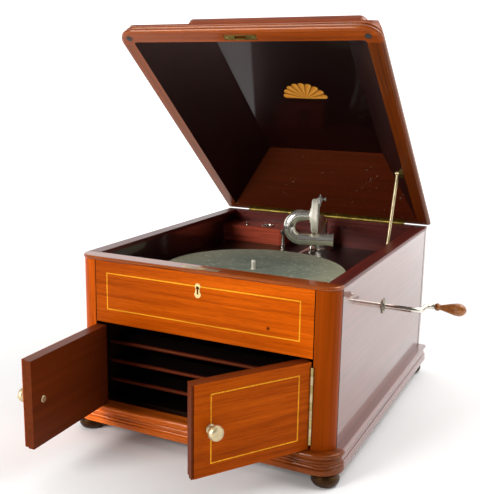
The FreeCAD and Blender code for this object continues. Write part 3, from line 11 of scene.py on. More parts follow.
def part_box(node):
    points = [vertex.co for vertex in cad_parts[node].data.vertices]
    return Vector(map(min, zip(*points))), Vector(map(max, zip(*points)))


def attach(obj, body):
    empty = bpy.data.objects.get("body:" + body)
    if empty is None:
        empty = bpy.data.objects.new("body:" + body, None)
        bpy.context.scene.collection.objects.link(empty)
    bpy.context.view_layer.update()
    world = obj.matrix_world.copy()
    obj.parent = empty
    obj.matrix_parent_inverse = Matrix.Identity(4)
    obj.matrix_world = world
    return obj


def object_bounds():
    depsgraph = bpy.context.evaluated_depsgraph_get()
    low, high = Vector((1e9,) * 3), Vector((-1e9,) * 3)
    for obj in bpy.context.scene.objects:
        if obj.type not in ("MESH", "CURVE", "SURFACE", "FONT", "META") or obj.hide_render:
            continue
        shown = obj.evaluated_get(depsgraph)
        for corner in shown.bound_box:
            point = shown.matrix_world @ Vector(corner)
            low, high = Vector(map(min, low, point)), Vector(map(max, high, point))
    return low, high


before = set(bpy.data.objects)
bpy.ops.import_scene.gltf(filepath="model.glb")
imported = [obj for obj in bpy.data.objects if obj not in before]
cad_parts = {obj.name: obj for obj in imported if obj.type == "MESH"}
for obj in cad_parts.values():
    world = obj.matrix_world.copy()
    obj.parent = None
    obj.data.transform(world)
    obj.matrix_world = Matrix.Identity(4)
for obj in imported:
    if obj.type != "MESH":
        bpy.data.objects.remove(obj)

logging.basicConfig(level=logging.INFO, format="%(name)s: %(message)s")
LOG = logging.getLogger("gramophone")

Colour = tuple[float, float, float]
Point = tuple[float, float, float]
Socket = bpy.types.NodeSocket

START_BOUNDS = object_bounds()

ORIGIN: Point = (0.0, 0.0, 0.0)
FULL_SIZE: Point = (1.0, 1.0, 1.0)
FLAT: Point = (1.0, 1.0, 0.0)
WHITE: Colour = (1.0, 1.0, 1.0)

# Sockets of a colour mix node.
MIX_FACTOR, MIX_FIRST, MIX_SECOND, MIX_RESULT = 0, 6, 7, 2

# Lid and door angles as the pieces stand, the lid's hinge pin and half the case's width.
LID_OPEN = math.radians(39.5)
DOOR_LEFT = math.radians(-88.5)
DOOR_RIGHT = math.radians(56.0)
LID_PIN = (0.0, 0.332, 0.0388)
CASE_HALF = 0.21


class Grain(Enum):
    """The way a board's grain runs, in the board's own frame."""

    ALONG_X = (0.0, 0.0, 0.0)
    ALONG_Y = (0.0, 0.0, math.pi / 2)
    ALONG_Z = (0.0, math.pi / 2, 0.0)


def grey(value: float) -> Colour:
    """A colour of one level."""
    return (value, value, value)


def darker(colour: Colour, share: float) -> Colour:
    """A share of a colour."""
    return tuple(share * level for level in colour)


class Nodes:
    """Adds nodes to one tree."""

    def __init__(self, tree: bpy.types.NodeTree) -> None:
        """Take hold of a tree."""
        self.tree = tree

    def add(self, kind: str, **values: object) -> bpy.types.Node:
        """Add a node and set its properties.

        Args:
            kind: Node type.
            values: Properties to set on the node.

        Returns:
            The new node.
        """
        node = self.tree.nodes.new(kind)
        for key, value in values.items():
            setattr(node, key, value)
        return node

    def link(self, start: Socket, end: Socket) -> None:
        """Join two sockets."""
        self.tree.links.new(start, end)

    def map_range(self, value: Socket, span: Sequence[float]) -> Socket:
        """A value taken from one range to another.

        Args:
            value: Input value.
            span: Least and most of the old range, then of the new one.

        Returns:
            The result socket.
        """
        node = self.add("ShaderNodeMapRange")
        self.link(value, node.inputs["Value"])
        for socket, limit in zip(("From Min", "From Max", "To Min", "To Max"), span):
            node.inputs[socket].default_value = limit
        return node.outputs[0]


class Shader(Nodes):
    """The nodes of one material."""

    def __init__(self, name: str) -> None:
        """Start an empty node material.

        Args:
            name: Name of the material.
        """
        self.material = bpy.data.materials.new(name)
        self.material.use_nodes = True
        super().__init__(self.material.node_tree)
        self.tree.nodes.clear()
        self.output = self.add("ShaderNodeOutputMaterial")
        self.surface = self.add("ShaderNodeBsdfPrincipled")
        self.link(self.surface.outputs[0], self.output.inputs["Surface"])

    def place(self, turn: Point = ORIGIN, scale: Point = FULL_SIZE, shift: Point = ORIGIN,
              source: str = "Object") -> Socket:
        """Coordinates turned and scaled.

        Args:
            turn: Turn that brings the board back to its own frame.
            scale: Scale on each axis afterwards.
            shift: Offset, to tell boards apart.
            source: Which coordinates to take.

        Returns:
            The vector socket.
        """
        start = self.add("ShaderNodeTexCoord")
        first = self.add("ShaderNodeMapping", vector_type="POINT")
        first.inputs["Rotation"].default_value = turn
        first.inputs["Location"].default_value = shift
        second = self.add("ShaderNodeMapping", vector_type="POINT")
        second.inputs["Scale"].default_value = scale
        self.link(start.outputs[source], first.inputs["Vector"])
        self.link(first.outputs["Vector"], second.inputs["Vector"])
        return second.outputs["Vector"]

    def noise(self, vector: Socket, scale: float, detail: float = 4.0,
              roughness: float = 0.5, distortion: float = 0.0) -> Socket:
        """Noise in the given place.

        Args:
            vector: Coordinates.
            scale: Noise scale.
            detail: Octaves.
            roughness: Octave weight.
            distortion: Warp.

        Returns:
            The factor socket.
        """
        node = self.add("ShaderNodeTexNoise")
        self.link(vector, node.inputs["Vector"])
        node.inputs["Scale"].default_value = scale
        node.inputs["Detail"].default_value = detail
        node.inputs["Roughness"].default_value = roughness
        node.inputs["Distortion"].default_value = distortion
        return node.outputs["Fac"]

    def along(self, axis: str, turn: Point = ORIGIN, shift: Point = ORIGIN, source: str = "Object",
              mirrored: bool = False) -> Socket:
        """One coordinate.

        Args:
            axis: X, Y or Z.
            turn: Turn that brings the board back to its own frame.
            shift: Offset.
            source: Which coordinates to take.
            mirrored: Whether both sides count alike.

        Returns:
            The value socket.
        """
        parts = self.add("ShaderNodeSeparateXYZ")
        self.link(self.place(turn, shift=shift, source=source), parts.inputs[0])
        value = parts.outputs[axis]
        return self.math("ABSOLUTE", value) if mirrored else value

    def reach(self, scale: Point = FULL_SIZE, centre: Point = ORIGIN) -> Socket:
        """Distance from a centre.

        Args:
            scale: Scale on each axis, nought for an axis that doesn't count.
            centre: Where to measure from.

        Returns:
            The value socket.
        """
        node = self.add("ShaderNodeVectorMath", operation="DISTANCE")
        self.link(self.place(scale=scale), node.inputs[0])
        node.inputs[1].default_value = centre
        return node.outputs["Value"]

    def levels(self, factor: Socket, spots: Sequence[float], values: Sequence[float]) -> Socket:
        """Grey ramp over a factor."""
        return self.ramp(factor, spots, [grey(value) for value in values])

    def ramp(self, factor: Socket, spots: Sequence[float], colours: Sequence[Colour]) -> Socket:
        """Colour ramp over a factor.

        Args:
            factor: Input value.
            spots: Places on the ramp.
            colours: Colour at each place.

        Returns:
            The colour socket.
        """
        node = self.add("ShaderNodeValToRGB")
        self.link(factor, node.inputs["Fac"])
        bar = node.color_ramp.elements
        while len(bar) < len(spots):
            bar.new(0.5)
        for element, spot, colour in zip(bar, spots, colours):
            element.position = spot
            element.color = (*colour, 1.0)
        return node.outputs["Color"]

    def mix(self, blend: str, factor: float | Socket, first: Socket, second: Colour | Socket) -> Socket:
        """Blend two colours.

        Args:
            blend: Blend type.
            factor: Fixed amount or a socket.
            first: Lower colour.
            second: Upper colour, fixed or a socket.

        Returns:
            The colour socket.
        """
        node = self.add("ShaderNodeMix", data_type="RGBA", blend_type=blend)
        if isinstance(factor, (int, float)):
            node.inputs[MIX_FACTOR].default_value = factor
        else:
            self.link(factor, node.inputs[MIX_FACTOR])
        self.link(first, node.inputs[MIX_FIRST])
        if isinstance(second, tuple):
            node.inputs[MIX_SECOND].default_value = (*second, 1.0)
        else:
            self.link(second, node.inputs[MIX_SECOND])
        return node.outputs[MIX_RESULT]

    def math(self, operation: str, *values: float | Socket) -> Socket:
        """One arithmetic step.

        Args:
            operation: What to do.
            values: Sockets or fixed numbers, in order.

        Returns:
            The result socket.
        """
        node = self.add("ShaderNodeMath", operation=operation)
        for socket, value in zip(node.inputs, values):
            if isinstance(value, (int, float)):
                socket.default_value = value
            else:
                self.link(value, socket)
        return node.outputs[0]

    def set(self, **values: float | Colour | Socket) -> None:
        """Fill sockets of the surface.

        Args:
            values: Number, colour or socket by the input's name, with low lines for its spaces.
        """
        for key, value in values.items():
            entry = self.surface.inputs[key.replace("_", " ")]
            if isinstance(value, Socket):
                self.link(value, entry)
            else:
                entry.default_value = (*value, 1.0) if isinstance(value, tuple) else value

    def bump(self, height: Socket, strength: float, distance: float) -> None:
        """Feed a height into the surface normal.

        Args:
            height: Height value.
            strength: Bump strength.
            distance: Bump distance in metres.
        """
        node = self.add("ShaderNodeBump")
        node.inputs["Strength"].default_value = strength
        node.inputs["Distance"].default_value = distance
        self.link(height, node.inputs["Height"])
        self.link(node.outputs["Normal"], self.surface.inputs["Normal"])


@dataclass(frozen=True)
class Layer:
    """A layer of noise: the squeeze on each axis of its board and the noise's own settings."""

    squeeze: Point = FULL_SIZE
    scale: float = 1.0
    detail: float = 2.0
    roughness: float = 0.5
    distortion: float = 0.0

    def value(self, shader: Shader, turn: Point = ORIGIN, shift: Point = ORIGIN) -> Socket:
        """The noise in a board's frame."""
        place = shader.place(turn, self.squeeze, shift)
        return shader.noise(place, self.scale, self.detail, self.roughness, self.distortion)


class Finish:
    """A surface finish that can make its material once."""

    name: str

    def material(self) -> bpy.types.Material:
        """Make the material, or give back the one already made.

        Returns:
            The material.
        """
        found = bpy.data.materials.get(self.name)
        if found:
            return found
        shader = Shader(self.name)
        self.fill(shader)
        return shader.material

    def fill(self, shader: Shader) -> None:
        """Fill the shader."""
        raise NotImplementedError


@dataclass(frozen=True)
class StainAndPaintedShade:
    """The side of a board that takes another colour, where a coordinate lies below or above a limit: a real stain on
    some boards and painted shade on others.
    """

    axis: str
    limit: float
    below: bool = True
    both_sides: bool = False
    colour: Colour = (0.012, 0.002, 0.002)
    heading: float = 0.0
    lid: bool = False
    source: str = "Object"

    def factor(self, shader: Shader) -> Socket:
        """One on the side that takes the other colour and nought elsewhere.

        Args:
            shader: Shader of the board.

        Returns:
            The factor socket.
        """
        turn = (LID_OPEN if self.lid else 0.0, 0.0, -self.heading)
        value = shader.along(self.axis, turn, source=self.source, mirrored=self.both_sides)
        return shader.math("LESS_THAN" if self.below else "GREATER_THAN", value, self.limit)


@dataclass(frozen=True)
class Seam:
    """Dark joint lines across an axis, the same on both sides where both_sides is set."""

    axis: str
    places: tuple[float, ...]
    half: float = 0.0007
    both_sides: bool = False
    colour: Colour = (0.003, 0.002, 0.002)

    def factor(self, shader: Shader) -> Socket:
        """One on a line and nought elsewhere.

        Args:
            shader: Shader of the board.

        Returns:
            The factor socket.
        """
        value = shader.along(self.axis, mirrored=self.both_sides)
        total = None
        for place in self.places:
            line = shader.math("COMPARE", value, place, self.half)
            total = line if total is None else shader.math("MAXIMUM", total, line)
        return total


# Layers of wood, with the places on their ramps and the shades there.
FIGURE = Layer((1.2, 52.0, 52.0), scale=3.0, detail=4.0, roughness=0.6)
FIGURE_SPOTS = (0.26, 0.5, 0.76)
CLOUD = Layer((2.4, 6.0, 6.0), scale=1.7, detail=3.0)
CLOUD_SPOTS = (0.3, 0.7)
CLOUD_SHADE: Colour = (0.66, 0.60, 0.56)
CLOUD_SHARE = 0.7
STREAK = Layer((14.0, 430.0, 430.0), roughness=0.55)
STREAK_SPOTS = (0.34, 0.52)
STREAK_SHADE: Colour = (0.50, 0.42, 0.36)
STREAK_DEPTH = 0.0004
PORE = Layer((60.0, 1500.0, 1500.0), roughness=0.6)
PORE_SPOTS = (0.34, 0.48)
PORE_SHADE: Colour = (0.42, 0.34, 0.30)
STAIN_AND_PAINTED_SHADE_SPOTS = (0.3, 0.7)
STAIN_AND_PAINTED_SHADE_DARKEST = 0.7
SPECK = Layer(scale=170.0, detail=3.0, roughness=0.7, distortion=1.5)
SPECK_SPOTS = (0.665, 0.72)
SPECK_PATCH = Layer(scale=17.0)
SPECK_PATCH_SPOTS = (0.45, 0.62)
GLOSS_SPOTS = (0.2, 0.8)
GLOSS_LESS = 0.06
GLOSS_MORE = 0.08
KNOT_SPOTS = (0.4, 1.0)
KNOT_DEPTH = 0.9


@dataclass(frozen=True)
class Wood(Finish):
    """Polished wood with figure, pores and a clear coat."""

    name: str
    dark: Colour
    mid: Colour
    light: Colour
    grain: Grain = Grain.ALONG_X
    lid: bool = False
    heading: float = 0.0
    shift: Point = ORIGIN
    coat: float = 0.05
    coat_roughness: float = 0.06
    roughness: float = 0.37
    pores: float = 0.4
    streaks: float = 0.6
    specular: float = 0.5
    tint: Colour = (1.0, 0.42, 0.10)
    coat_ior: float = 1.5
    specks: float = 0.0
    dust: Colour = (0.46, 0.37, 0.34)
    relief: float = 0.03
    # Painted light and shade: a factor on the colour from the case's left side to its right.
    fade: tuple[float, float] | None = None
    knot: Point | None = None
    knot_reach: float = 0.0034
    knot_colour: Colour = (0.060, 0.008, 0.002)
    stain: StainAndPaintedShade | None = None
    seam: Seam | None = None

    def turn(self) -> Point:
        """Turn that lays the grain along X.

        Returns:
            Rotation for the mapping node.
        """
        board = Euler((LID_OPEN if self.lid else 0.0, 0.0, -self.heading)).to_matrix()
        lay = Euler(self.grain.value).to_matrix()
        return tuple((lay @ board).to_euler())

    def faded(self, shader: Shader) -> Socket:
        """Painted light and shade that runs from one side of the case to the other."""
        across = shader.math("MULTIPLY_ADD", shader.along("X"), 0.5 / CASE_HALF, 0.5)
        return shader.levels(across, (0.0, 1.0), self.fade)

    def knotted(self, shader: Shader) -> Socket:
        """How much of a small knot shows, most at its middle."""
        near = shader.math("MULTIPLY", shader.reach(centre=self.knot), 1.0 / self.knot_reach)
        return shader.levels(near, KNOT_SPOTS, (KNOT_DEPTH, 0.0))

    def dusted(self, shader: Shader) -> Socket:
        """Where specks of dust lie, in patches.

        Args:
            shader: Shader of the board.

        Returns:
            The factor socket.
        """
        dots = SPECK.value(shader, self.turn(), self.shift)
        patches = SPECK_PATCH.value(shader, self.turn(), self.shift)
        spot = shader.levels(dots, SPECK_SPOTS, (0.0, self.specks))
        return shader.math("MULTIPLY", spot, shader.levels(patches, SPECK_PATCH_SPOTS, (0.0, 1.0)))

    def fill(self, shader: Shader) -> None:
        """Fill the shader.

        Args:
            shader: Empty shader.
        """
        figure, cloud, streak, pore = (layer.value(shader, self.turn(), self.shift)
                                       for layer in (FIGURE, CLOUD, STREAK, PORE))
        colour = shader.ramp(figure, FIGURE_SPOTS, (self.dark, self.mid, self.light))
        for share, layer, spots, shade in (
            (CLOUD_SHARE, cloud, CLOUD_SPOTS, CLOUD_SHADE),
            (self.streaks, streak, STREAK_SPOTS, STREAK_SHADE),
            (self.pores, pore, PORE_SPOTS, PORE_SHADE),
        ):
            colour = shader.mix("MULTIPLY", share, colour, shader.ramp(layer, spots, (shade, WHITE)))
        # Painted light and shade across the case from left to right.
        if self.fade:
            colour = shader.mix("MULTIPLY", 1.0, colour, self.faded(shader))
        if self.knot:
            colour = shader.mix("MIX", self.knotted(shader), colour, self.knot_colour)
        # A real stain on some boards and painted shade on others (the right-hand posts, the lid's hollow), in the
        # figure's tones.
        if self.stain:
            tones = (darker(self.stain.colour, STAIN_AND_PAINTED_SHADE_DARKEST), self.stain.colour)
            deep = shader.ramp(figure, STAIN_AND_PAINTED_SHADE_SPOTS, tones)
            colour = shader.mix("MIX", self.stain.factor(shader), colour, deep)
        if self.specks:
            colour = shader.mix("MIX", self.dusted(shader), colour, self.dust)
        coat = self.coat
        rough = shader.levels(cloud, GLOSS_SPOTS, (self.roughness - GLOSS_LESS, self.roughness + GLOSS_MORE))
        if self.seam:
            gap = self.seam.factor(shader)
            colour = shader.mix("MIX", gap, colour, self.seam.colour)
            rough = shader.math("MAXIMUM", rough, gap)
            coat = shader.math("MULTIPLY_ADD", gap, -self.coat, self.coat)
        shader.set(Base_Color=colour, Roughness=rough, Coat_Weight=coat, Coat_Roughness=self.coat_roughness,
                   Coat_IOR=self.coat_ior, Specular_IOR_Level=self.specular, Specular_Tint=self.tint)
        if self.relief:
            shader.bump(streak, self.relief, STREAK_DEPTH)


# Marks on metal: places on the ramps, the dark share of a plating and how far roughness varies.
TARNISH_SPOTS = (0.32, 0.62)
PLATING_DARKEST = 0.6
SMEAR_FINER = 3.1
SMEAR_SPOTS = (0.25, 0.8)
SMEAR_LEAST = 0.7
SMEAR_MOST = 1.6
SMEAR_RELIEF = 0.04
SMEAR_DEPTH = 0.0002


@dataclass(frozen=True)
class Metal(Finish):
    """Plated or bare metal with handling marks."""

    name: str
    colour: Colour
    dull: Colour
    roughness: float = 0.22
    scale: float = 60.0
    metallic: float = 1.0
    plating: StainAndPaintedShade | None = None

    def fill(self, shader: Shader) -> None:
        """Fill the shader.

        Args:
            shader: Empty shader.
        """
        tarnish = Layer(scale=self.scale, detail=5.0, roughness=0.6, distortion=0.3).value(shader)
        smear = Layer(scale=self.scale * SMEAR_FINER, detail=4.0, roughness=0.6).value(shader)
        colour = shader.ramp(tarnish, TARNISH_SPOTS, (self.dull, self.colour))
        if self.plating:
            tones = (darker(self.plating.colour, PLATING_DARKEST), self.plating.colour)
            other = shader.ramp(tarnish, TARNISH_SPOTS, tones)
            colour = shader.mix("MIX", self.plating.factor(shader), colour, other)
        spread = (self.roughness * SMEAR_LEAST, self.roughness * SMEAR_MOST)
        rough = shader.levels(smear, SMEAR_SPOTS, spread)
        shader.set(Base_Color=colour, Roughness=rough, Metallic=self.metallic)
        shader.bump(smear, SMEAR_RELIEF, SMEAR_DEPTH)


# Layers of felt, with the places on their ramps and the levels there.
NAP = Layer(scale=900.0, detail=3.0, roughness=0.7)
NAP_SPOTS = (0.3, 0.7)
NAP_LEVELS = (0.72, 1.15)
NAP_SHARE = 0.8
NAP_RELIEF = 0.5
NAP_DEPTH = 0.0006
WEAR = Layer(scale=13.0, detail=6.0, roughness=0.65, distortion=0.7)
WEAR_SPOTS = (0.32, 0.66)
RING_SPOTS = (0.55, 0.98)
RING_SHARE = 0.75
LINT = Layer(scale=150.0, detail=4.0, roughness=0.7)
LINT_SPOTS = (0.60, 0.66)
LINT_SHARE = 0.85
SCUFF = Layer((22.0, 210.0, 1.0), distortion=0.4)
SCUFF_SPOTS = (0.64, 0.72)
SCUFF_SHARE = 0.55
FELT_ROUGHNESS = 0.95
FELT_SHEEN = 0.06


@dataclass(frozen=True)
class Felt(Finish):
    """Worn wool felt with dust and a fuzzy nap."""

    name: str
    deep: Colour
    pale: Colour
    edge: Colour
    dust: Colour
    reach: float = 0.149
    leans: tuple[float, ...] = (0.5, 1.9)

    def fill(self, shader: Shader) -> None:
        """Fill the shader.

        Args:
            shader: Empty shader.
        """
        nap = NAP.value(shader)
        colour = shader.ramp(WEAR.value(shader), WEAR_SPOTS, (self.deep, self.pale))
        ring = shader.math("MULTIPLY", shader.reach(FLAT), 1.0 / self.reach)
        colour = shader.mix("MIX", shader.levels(ring, RING_SPOTS, (0.0, RING_SHARE)), colour, self.edge)
        colour = shader.mix("MULTIPLY", NAP_SHARE, colour, shader.levels(nap, NAP_SPOTS, NAP_LEVELS))
        lint = shader.levels(LINT.value(shader), LINT_SPOTS, (0.0, LINT_SHARE))
        colour = shader.mix("MIX", lint, colour, self.dust)
        for lean in self.leans:
            scuff = shader.levels(SCUFF.value(shader, (0.0, 0.0, lean)), SCUFF_SPOTS, (0.0, SCUFF_SHARE))
            colour = shader.mix("MIX", scuff, colour, self.dust)
        shader.set(Base_Color=colour, Roughness=FELT_ROUGHNESS, Sheen_Weight=FELT_SHEEN)
        shader.bump(nap, NAP_RELIEF, NAP_DEPTH)


# Mottling of moulded pieces.
MOTTLE = Layer(scale=120.0, detail=4.0, roughness=0.6)
MOTTLE_SPOTS = (0.3, 0.7)
MOTTLE_RELIEF = 0.05
MOTTLE_DEPTH = 0.0002


@dataclass(frozen=True)
class Smooth(Finish):
    """Plain moulded material with slight mottling."""

    name: str
    colour: Colour
    dull: Colour
    roughness: float = 0.35
    coat: float = 0.0

    def fill(self, shader: Shader) -> None:
        """Fill the shader.

        Args:
            shader: Empty shader.
        """
        mottle = MOTTLE.value(shader)
        colour = shader.ramp(mottle, MOTTLE_SPOTS, (self.dull, self.colour))
        shader.set(Base_Color=colour, Roughness=self.roughness, Coat_Weight=self.coat)
        shader.bump(mottle, MOTTLE_RELIEF, MOTTLE_DEPTH)


# Shading across a petal and the grain of its veneer.
PETAL_SPOTS = (0.0, 0.12, 0.8, 1.0)
VENEER = Layer((900.0, 90.0, 90.0), detail=3.0, roughness=0.6)
VENEER_SPOTS = (0.3, 0.6)
VENEER_SHADE: Colour = (0.75, 0.68, 0.60)
VENEER_SHARE = 0.6
FAN_ROUGHNESS = 0.3
FAN_SPECULAR = 0.3


@dataclass(frozen=True)
class Fan(Finish):
    """Shaded veneer petals about a hub, in the lid's frame."""

    name: str
    hub: Point
    petals: int
    shadow: Colour
    middle: Colour
    bright: Colour

    def fill(self, shader: Shader) -> None:
        """Fill the shader.

        Args:
            shader: Empty shader.
        """
        turn = (LID_OPEN, 0.0, 0.0)
        back = Vector(LID_PIN) - Euler(turn).to_matrix() @ Vector(LID_PIN)
        shift = tuple(back - Vector(self.hub))
        angle = shader.math("ARCTAN2", shader.along("Y", turn, shift), shader.along("X", turn, shift))
        spread = shader.math("FRACT", shader.math("MULTIPLY", angle, self.petals / math.pi))
        colour = shader.ramp(spread, PETAL_SPOTS, (self.shadow, self.middle, self.bright, self.shadow))
        shade = shader.ramp(VENEER.value(shader, turn), VENEER_SPOTS, (VENEER_SHADE, WHITE))
        shader.set(Base_Color=shader.mix("MULTIPLY", VENEER_SHARE, colour, shade), Roughness=FAN_ROUGHNESS,
                   Specular_IOR_Level=FAN_SPECULAR)


PAPER_ROUGHNESS = 0.9


@dataclass(frozen=True)
class Paper(Finish):
    """White studio paper that is lit more the farther it lies from the middle."""

    name: str
    colour: Colour
    near: float
    far: float
    glow: float

    def fill(self, shader: Shader) -> None:
        """Fill the shader."""
        light = shader.map_range(shader.reach(FLAT), (self.near, self.far, 0.0, self.glow))
        shader.set(Base_Color=self.colour, Emission_Color=WHITE, Emission_Strength=light, Roughness=PAPER_ROUGHNESS)


@dataclass(frozen=True)
class Timber:
    """Dark, middle and light tones of one sort of wood, and the tint of its gloss."""

    dark: Colour
    mid: Colour
    light: Colour
    tint: Colour = (1.0, 0.42, 0.10)

    def board(self, name: str, grain: Grain = Grain.ALONG_X, **more: object) -> Wood:
        """A finish in this timber."""
        return Wood(name, self.dark, self.mid, self.light, grain, **{"tint": self.tint, **more})


# The timbers, from the polished front to the turned handle.
RED_TINT: Colour = (1.0, 0.56, 0.50)
INNER_TINT: Colour = (1.0, 0.68, 0.64)
POLISHED = Timber((0.400, 0.058, 0.0012), (0.560, 0.090, 0.0016), (0.700, 0.125, 0.0030))
MOULDED = Timber((0.180, 0.028, 0.0020), (0.280, 0.048, 0.0030), (0.380, 0.070, 0.0050))
REDDISH = Timber((0.055, 0.007, 0.006), (0.110, 0.014, 0.010), (0.160, 0.022, 0.015), RED_TINT)
MIRRORED = Timber((0.085, 0.012, 0.005), (0.140, 0.021, 0.008), (0.195, 0.032, 0.012), RED_TINT)
STAINED = Timber((0.007, 0.001, 0.002), (0.014, 0.002, 0.003), (0.026, 0.004, 0.005), INNER_TINT)
# The plinth's tones are set lighter than the other polished boards: painted light on a face that the lamps leave in
# shade.
PLINTH = Timber((0.44, 0.080, 0.006), (0.64, 0.125, 0.010), (0.80, 0.170, 0.016))
MOUTH = Timber((0.003, 0.002, 0.002), (0.006, 0.003, 0.003), (0.009, 0.004, 0.004))
SLAT = Timber((0.042, 0.006, 0.003), (0.090, 0.012, 0.006), (0.14, 0.020, 0.009))
EBONISED = Timber((0.006, 0.003, 0.002), (0.012, 0.006, 0.004), (0.020, 0.010, 0.006))
BLOCK = Timber((0.30, 0.042, 0.024), (0.46, 0.072, 0.042), (0.60, 0.110, 0.062))
PINE = Timber((0.150, 0.085, 0.035), (0.260, 0.160, 0.070), (0.340, 0.220, 0.105))
BOX = Timber((0.80, 0.30, 0.012), (0.92, 0.38, 0.018), (0.98, 0.46, 0.030))
TURNED = Timber((0.22, 0.070, 0.017), (0.42, 0.150, 0.036), (0.56, 0.23, 0.065))

# How wood is polished: fields of its finish.
MIRROR_POLISH = {"coat": 1.0, "coat_roughness": 0.05, "coat_ior": 1.8, "specular": 0.8, "relief": 0.0,
                 "pores": 0.0, "streaks": 0.2}
LOW_GLOSS = {"coat": 0.0, "specular": 0.1}
SHADED = {"coat": 0.0, "specular": 0.2}

# Metals and the rest. The plate of the crank lies beyond PLATED_FROM.
PLATED_FROM = 0.1
NICKEL = Metal("nickel plate", (0.82, 0.78, 0.70), (0.58, 0.54, 0.46), 0.165)
BRASS = Metal("lacquered brass", (0.70, 0.50, 0.17), (0.36, 0.23, 0.06), 0.40)
HINGE_BRASS = Metal("hinge brass", (0.50, 0.40, 0.17), (0.30, 0.23, 0.09), 0.40)
AGED_BRASS = Metal("aged brass", (0.31, 0.225, 0.055), (0.14, 0.10, 0.026), 0.45)
PLATES = Metal("escutcheon brass", (0.76, 0.60, 0.27), (0.46, 0.33, 0.11), 0.40,
               plating=StainAndPaintedShade("X", PLATED_FROM, below=False, colour=(0.40, 0.38, 0.32)))
ARM_NICKEL = Metal("arm nickel", (0.86, 0.83, 0.75), (0.60, 0.56, 0.48), 0.165, metallic=0.88)
# Half-metallic pale nickel: its pale colour is painted reflection on the soundbox shell and spindle.
PALE_NICKEL = Metal("nickel with painted pale reflection", (0.92, 0.88, 0.76), (0.72, 0.67, 0.54), 0.45, metallic=0.5)
SATIN_BRASS = Metal("satin brass", (0.66, 0.54, 0.33), (0.42, 0.33, 0.18), 0.42)
STEEL = Metal("bright steel", (0.56, 0.55, 0.53), (0.36, 0.35, 0.33), 0.40)
SPRING_STEEL = Metal("blued spring steel", (0.20, 0.23, 0.30), (0.12, 0.13, 0.17), 0.40)
IRON = Smooth("japanned iron", (0.016, 0.015, 0.014), (0.010, 0.009, 0.009), 0.38, 0.3)
BOXWOOD = BOX.board("boxwood line", pores=0.15, **LOW_GLOSS)
FELT = Felt("turntable felt", deep=(0.105, 0.135, 0.092), pale=(0.200, 0.215, 0.140),
            edge=(0.290, 0.270, 0.155), dust=(0.56, 0.54, 0.42))
MICA = Smooth("mica sheet", (0.66, 0.65, 0.60), (0.52, 0.51, 0.46), 0.50)
PAPER = Paper("pale paper", (0.90, 0.90, 0.89), near=0.9, far=2.4, glow=0.75)
RUBBER = Smooth("black rubber", (0.020, 0.019, 0.018), (0.012, 0.012, 0.011), 0.6)
HANDLE = TURNED.board("turned handle wood", Grain.ALONG_Y, coat=1.0)


